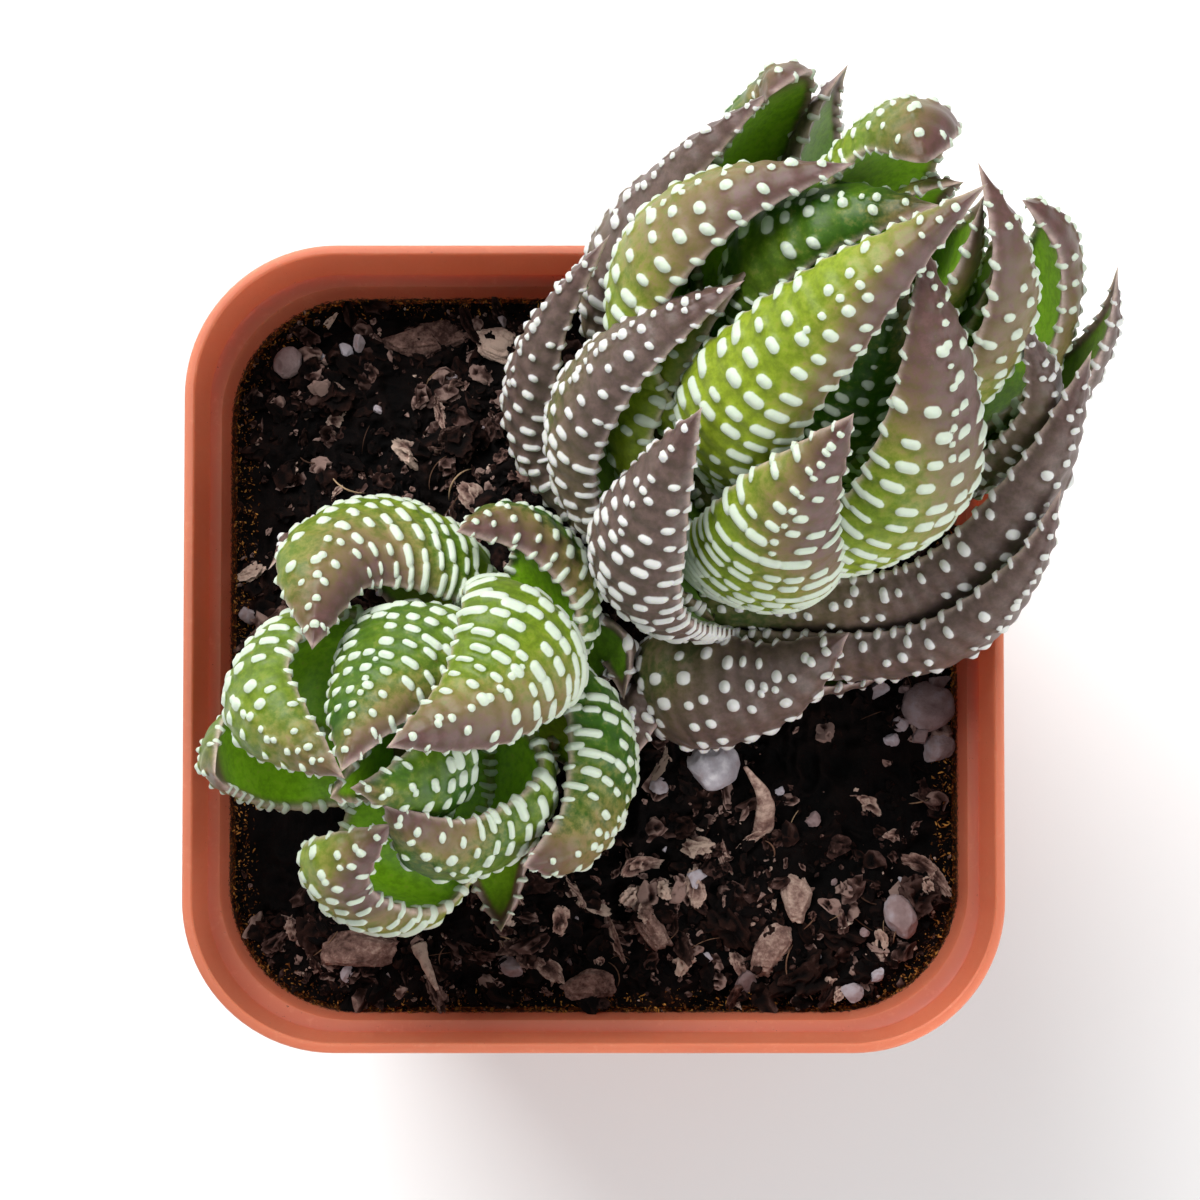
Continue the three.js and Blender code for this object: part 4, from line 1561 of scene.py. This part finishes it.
MAIN_LEAVES = [
    Leaf(0.8, (885, 250, 83), (925, 200, 89), (964, 182, 94), 8, lime=0.3, blush=0.4),
    Leaf(0.72, (775, 265, 80), (835, 222, 87), (940, 205, 92), 12, lime=0.1, blush=0.14, spots=1.1),
    Leaf(0.72, (852, 240, 80), (911, 140, 90), (926, 163, 95), 11.5,
         blunt=1, lime=0.5, blush=0.26, spots=0.75, bars=1.5),
    Leaf(0.68, (905, 305, 79), (955, 250, 88), (984, 195, 93), 11, lime=0.5, blush=0.3),
    Leaf(0.48, (740, 415, 82), (840, 305, 92), (988, 183, 98), 11, lime=0.95, blush=0.36, spots=1.15),
    Leaf(0.52, (668, 290, 78), (738, 204, 87), (856, 163, 91), 14.5,
         lime=0.75, blush=0.46, spots=1.1, bars=1.15),
    Leaf(0.56, (958, 350, 79), (1002, 252, 90), (978, 162, 94), 13, lime=0.6, blush=0.5, spots=1.1),
    Leaf(0.45, (840, 420, 77), (875, 335, 86), (912, 252, 92), 10, lime=0.1, blush=0.2),
    Leaf(0.6, (815, 170, 73), (826, 112, 78), (848, 64, 82), 10, BROWN, roll=25, lime=0.2, blush=0.9),
    Leaf(0.54, (740, 205, 73), (785, 92, 83), (770, 96, 87), 10, blunt=1, lime=0.1, blush=0.25),
    Leaf(0.36, (650, 420, 72), (690, 340, 79.5), (752, 266, 85), 11, lime=0.8, blush=0.15, spots=1.1),
    Leaf(0.5, (1010, 345, 72), (1048, 240, 80), (1022, 200, 85), 11, blunt=0.5, lime=0.1, blush=0.35),
    Leaf(0.4, (625, 300, 68), (684, 178, 79), (775, 88, 86), 11, BROWN,
         roll=35, lime=0.4, blush=0.7, spots=1.1),
    Leaf(0.34, (898, 488, 78), (931, 382, 88), (923, 238, 95), 13.5,
         lime=0.8, blush=0.6, spots=1.15, bars=1.25),
    Leaf(0.24, (598, 450, 70), (632, 360, 80.5), (745, 280, 89), 12, BROWN,
         lime=0.5, blush=0.6, spots=0.95),
    Leaf(0.36, (990, 450, 71), (1040, 395, 78), (1022, 319, 85), 9, BROWN,
         roll=-40, lime=0.2, blush=0.5, spots=0.9),
    Leaf(0.42, (1040, 400, 70), (1098, 335, 76), (1118, 266, 82), 9, BROWN, lime=0.3, blush=0.6),
    Leaf(0.3, (768, 545, 75), (788, 500, 83), (854, 413, 92), 12.5,
         lime=0.75, blush=0.55, spots=0.95, bars=1.6),
    Leaf(0.2, (645, 565, 71), (660, 500, 79), (702, 407, 88), 11, BROWN, lime=0.3, blush=1, spots=0.95),
    Leaf(0.2, (548, 440, 61), (553, 335, 71), (610, 234, 79), 9, BROWN,
         roll=40, lime=0.3, blush=0.8, spots=0.95),
    Leaf(0.2, (935, 575, 64), (1035, 475, 74), (1092, 350, 83), 11, BROWN,
         roll=-50, lime=0.2, blush=1, spots=1.15, bars=0.1),
    Leaf(0.1, (930, 635, 62.5), (1028, 560, 72), (1062, 487, 77), 9, BROWN,
         roll=-50, lime=0.2, blush=1, spots=1.1, bars=0.1),
    Leaf(-0.05, (690, 690, 57.5), (775, 680, 61), (850, 632, 65), 10.5, BROWN,
         roll=-60, lime=0.3, blush=0.9, spots=1, bars=0.4),
    Leaf(0, (800, 675, 55.5), (860, 675, 56), (908, 664, 57), 6, BROWN, lime=0.2, blush=1, spots=0.9),
    Leaf(0.5, (925, 350, 76), (980, 280, 84), (1006, 215, 89), 9, lime=0.6, blush=0.2),
    Leaf(-0.03, (643, 702, 56), (641, 730, 56.6), (636, 757, 57), 5, BROWN, lime=0.1, blush=1, spots=0.8),
]
OFFSET_LEAVES = [
    Leaf(0.86, (375, 770, 75), (345, 790, 78), (330, 798, 80), 6, lime=0.3, blush=0.2, spots=0.9),
    Leaf(0.8, (440, 765, 73), (395, 785, 78), (350, 788, 81), 8, lime=0.1, blush=0.15, spots=0.9),
    Leaf(0.7, (425, 655, 70), (378, 700, 77), (341, 772, 83), 12,
         lime=0.22, blush=0.22, spots=0.8, bars=1.2),
    Leaf(0.7, (320, 670, 67), (270, 705, 74), (345, 779, 81), 12.5,
         lime=0.55, blush=0.26, spots=0.78, bars=1.3),
    Leaf(0.5, (518, 645, 71), (474, 706, 78), (386, 748, 83), 12.5,
         lime=0.5, blush=0.4, spots=0.82, bars=1.35),
    Leaf(0.6, (495, 800, 67), (440, 838, 73), (383, 804, 79), 12,
         lime=0.22, blush=0.32, spots=0.8, bars=1.35),
    Leaf(0.62, (395, 870, 63), (340, 866, 72), (394, 822, 77), 12.5,
         lime=0.6, blush=0.34, spots=0.76, bars=1.65),
    Leaf(0.4, (430, 582, 62), (330, 568, 71), (312, 650, 78), 15,
         roll=-40, lime=0.35, blush=0.4, spots=0.82, bars=1.3),
    Leaf(0.6, (300, 750, 61.5), (240, 754, 66), (215, 775, 72), 10.5,
         blunt=0.6, lime=0.5, blush=0.15, spots=0.75),
    Leaf(0.35, (570, 735, 62), (568, 832, 68), (522, 867, 73), 14,
         roll=20, lime=0, blush=0.4, spots=0.82, bars=1.35),
    Leaf(0.25, (545, 590, 60), (508, 535, 66), (456, 532, 71), 12,
         lime=0.05, blush=0.34, spots=0.82, bars=1.2),
    Leaf(0.2, (380, 555, 57), (305, 540, 62), (268, 570, 67), 7, BROWN, lime=0.2, blush=0.8, spots=0.9),
    Leaf(0.1, (495, 850, 56), (500, 900, 56.5), (501, 932, 59), 10, lime=0.1, blush=0.6, spots=0.85),
    Leaf(0.05, (585, 650, 56), (612, 650, 58), (624, 700, 58), 7, BROWN, lime=0, blush=0.4, spots=0.85),
]

PERLITE, BARK = Kind.PERLITE, Kind.BARK

STONES = [
    # perlite_big and perlite_right lie in shade on the right; their low tones are partly painted shade.
    Stone("perlite_big", (925, 707), (5.2, 4.2, 2.8), 20, PERLITE, 0.35),
    Stone("perlite_middle", (712, 766), (4.6, 4.3, 3), -15, PERLITE, 0.8),
    Stone("perlite_right", (938, 748), (3, 2.6, 2), 40, PERLITE, 0.4),
    Stone("perlite_low", (900, 916), (4, 2.6, 2.2), 115, PERLITE, 0.45),
    Stone("perlite_corner", (288, 363), (2.8, 2.4, 2), 70, PERLITE, 0.3),
    Stone("bark_chip_left", (425, 341), (8.5, 4.2, 2.2), 15, BARK, 0.45),
    Stone("bark_chip_pale", (497, 345), (4.6, 3, 1.8), -25, BARK, 0.95),
    Stone("bark_chip_front", (362, 950), (7, 4, 2.2), 10, BARK, 0.6),
    Stone("bark_chip_right", (796, 894), (4.6, 2.8, 1.8), -78, BARK, 0.75),
    Stone("bark_chip_near", (771, 949), (4.8, 2.8, 1.8), 66, BARK, 0.7),
    Stone("bark_chip_middle", (650, 920), (5.2, 2.4, 1.8), -62, BARK, 0.6),
    Stone("bark_chip_back", (591, 985), (4.6, 3, 1.8), 0, BARK, 0.5),
]

# Small pale grains where the view shows them: a picture point and a size.
SMALL_GRAINS = (
    (744, 984, 2.4), (851, 993, 2.2), (875, 973, 1.6), (510, 969, 2.2), (250, 615, 1.8), (876, 690, 2.2),
    (901, 668, 2), (898, 723, 1.8), (889, 741, 1.5), (939, 682, 2.4), (921, 737, 1.6), (659, 787, 1.7),
    (778, 791, 0.9), (811, 820, 1.5), (850, 891, 1), (903, 880, 0.9), (864, 932, 0.9), (706, 958, 1.3),
    (697, 877, 2.2), (345, 353, 1.6), (360, 345, 1.3), (289, 362, 1.8), (324, 358, 1), (379, 411, 1),
)

# Crumpled tan bark chips where the view shows them: a picture point and a size.
CRUMPLED_CHIPS = (
    (697, 820, 2.2), (688, 846, 1.9), (638, 863, 1.9), (694, 876, 1.7), (634, 900, 1.9), (650, 912, 1.6),
    (684, 962, 2.1), (414, 455, 2.2), (725, 860, 1.2), (610, 938, 1.6), (560, 925, 1.7), (590, 905, 1.4),
    (865, 800, 1.2), (897, 835, 1.1), (540, 960, 1.5), (480, 960, 1.3), (330, 420, 1.5), (290, 470, 1.3),
)

SLIVERS = [
    Sliver("dry_spike", (763, 832, 52.5), (745, 767, 57.5), 0.8, 0.75, claw=-0.8),
    Sliver("bark_splinter", (288, 613, 51.4), (234, 652, 54.6), 0.9, 0.35),
    Sliver("fallen_twig", (418, 945, 51.2), (437, 990, 53), 0.6, 0.95),
]

# Moist peat is near black, and the bark in it shows as tan crests; the dark hollows and pale crests of the
# soil and its crumbs are partly painted shade and light.
PEAT = Grainy("peat_and_bark_mix", grain=0.6, relief=0.3, mottle_and_shade=0.4, tones=(
    (0.0, "#020101"), (0.35, "#0b0504"), (0.6, "#25140f"), (0.82, "#523d38"), (1.0, "#8f766d")))
# Chopped pine bark is brown outside and pale where it is broken.
CHIP = Grainy("chopped_pine_bark", grain=0.4, relief=0.55, mottle_and_shade=0.95, tones=(
    (0.0, "#140a08"), (0.35, "#45302b"), (0.65, "#8a6c62"), (1.0, "#d2b7a6")))
# Perlite is volcanic glass, foamed by heat: white, and greyed by peat here.
FOAMED = Grainy("expanded_perlite", grain=0.5, relief=0.25, mottle_and_shade=0.35, tones=(
    (0.0, "#66504e"), (0.4, "#94807f"), (0.75, "#b4afb6"), (1.0, "#e6e3e5")))
# The finest bark dust looks golden against the dark soil.
GOLD = Grainy("sieved_bark_dust", grain=0.4, relief=0.02, tones=(
    (0.0, "#1a0e08"), (0.5, "#6a3c1a"), (1.0, "#c98f45")))
# Dry roots are straw-coloured.
FIBRE = Grainy("dry_root_fibre", grain=1.0, relief=0.05, tones=(
    (0.0, "#2a1c16"), (0.6, "#6e5140"), (1.0, "#b59a78")))
# The stem is covered with the dry, olive-brown scars of shed leaves.
SCARRED = Grainy("old_leaf_scars", grain=0.9, relief=0.2, tones=(
    (0.0, "#3a2f1e"), (0.6, "#6f6a3c"), (1.0, "#9a8f5c")))
# Leaves in the shade stay clear green. The sun dulls and browns the others.
IN_THE_SHADE = LeafSkin("living_leaf_green")
SUNBURNT = LeafSkin("living_leaf_sunburnt", lime="#7a8038", deep="#2c4c18", hollow="#6c9a1c",
                    olive="#6a5d40", brown="#625049", spot="#d2d2ce")

CRUMBS = (
    Loose("bark_clods", "potting_soil", PEAT, 70, (1.4, 3.6), (0.35, 0.7), (0.9, 2.0), (0.15, 0.55), 106,
          lift=0.0, steps=4, ragged=0.5, contrast=0.45, bias=1.8),
    Loose("peat_crumbs", "potting_soil", PEAT, 1550, (0.4, 2.0), (0.3, 0.9), (0.8, 2.0), (0.05, 0.9), 101,
          ragged=0.45, contrast=0.45, bias=2.2),
    Loose("peat_dust", "potting_soil", PEAT, 3800, (0.25, 0.8), (0.4, 0.9), (0.8, 2.6), (0.0, 1.0), 107,
          steps=1, bias=2.6),
    Loose("sieved_dust", "bark", GOLD, 6200, (0.06, 0.19), (0.3, 0.8), (1.0, 4.0), (0.0, 0.95), 108,
          lift=1.6, tilt=0.9, steps=1, band=2.4, bias=1),
    Loose("bark_flakes", "bark", CHIP, 300, (0.5, 2.1), (0.14, 0.45), (1.0, 2.4), (-0.05, 0.5), 102,
          lift=0.4, tilt=1.0, ragged=0.5, contrast=0.45, steps=3, bias=2.2),
    Loose("pale_specks", "bark", CHIP, 650, (0.14, 0.55), (0.3, 0.8), (1.0, 2.4), (0.3, 1.0), 110,
          lift=0.6, tilt=0.9, steps=1, bias=1.2),
    Loose("pale_bark_bits", "bark", CHIP, 75, (0.4, 2.0), (0.15, 0.5), (0.9, 3.0), (0.35, 0.95), 103,
          lift=0.5, tilt=0.9, ragged=0.5, contrast=0.5, steps=4, placed=CRUMPLED_CHIPS),
    Loose("small_perlite", "perlite", FOAMED, 46, (0.5, 1.7), (0.6, 1.0), (0.8, 1.3), (0.1, 0.7), 104,
          lift=0.35, steps=3, ragged=0.08, contrast=0.1, bias=1, placed=SMALL_GRAINS),
)


def main() -> None:
    """Builds the studio and the plant in its pot, piece by piece."""
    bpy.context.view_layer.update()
    VIEW.camera()
    Studio().build()
    pot = Pot(MouldedPolypropylene("moulded_polypropylene"))
    pot.build()
    soil = Soil(pot, PEAT)
    soil.build()
    for kind in CRUMBS:
        soil.scatter(kind)
    soil.strew(Fibres("root_fibres", FIBRE, 90, 105))
    for stone in STONES:
        stone.build(soil, FOAMED if stone.kind is PERLITE else CHIP)
    for sliver in SLIVERS:
        sliver.build(CHIP)
    skins = {GREEN: IN_THE_SHADE.make(), BROWN: SUNBURNT.make()}
    shape = LeafShape()
    for stem, family, leaves in ((MAIN, "main", MAIN_LEAVES), (OFFSET, "offset", OFFSET_LEAVES)):
        stem.build(SCARRED)
        for number, leaf in enumerate(leaves, 1):
            shape.build(f"{family}_leaf_{number:02d}", leaf, stem, skins[leaf.tone])
        LOG.info("%s stem: %d leaves", family, len(leaves))


if __name__ == "__main__":
    logging.basicConfig(level=logging.INFO, format="%(name)s: %(message)s")
    main()
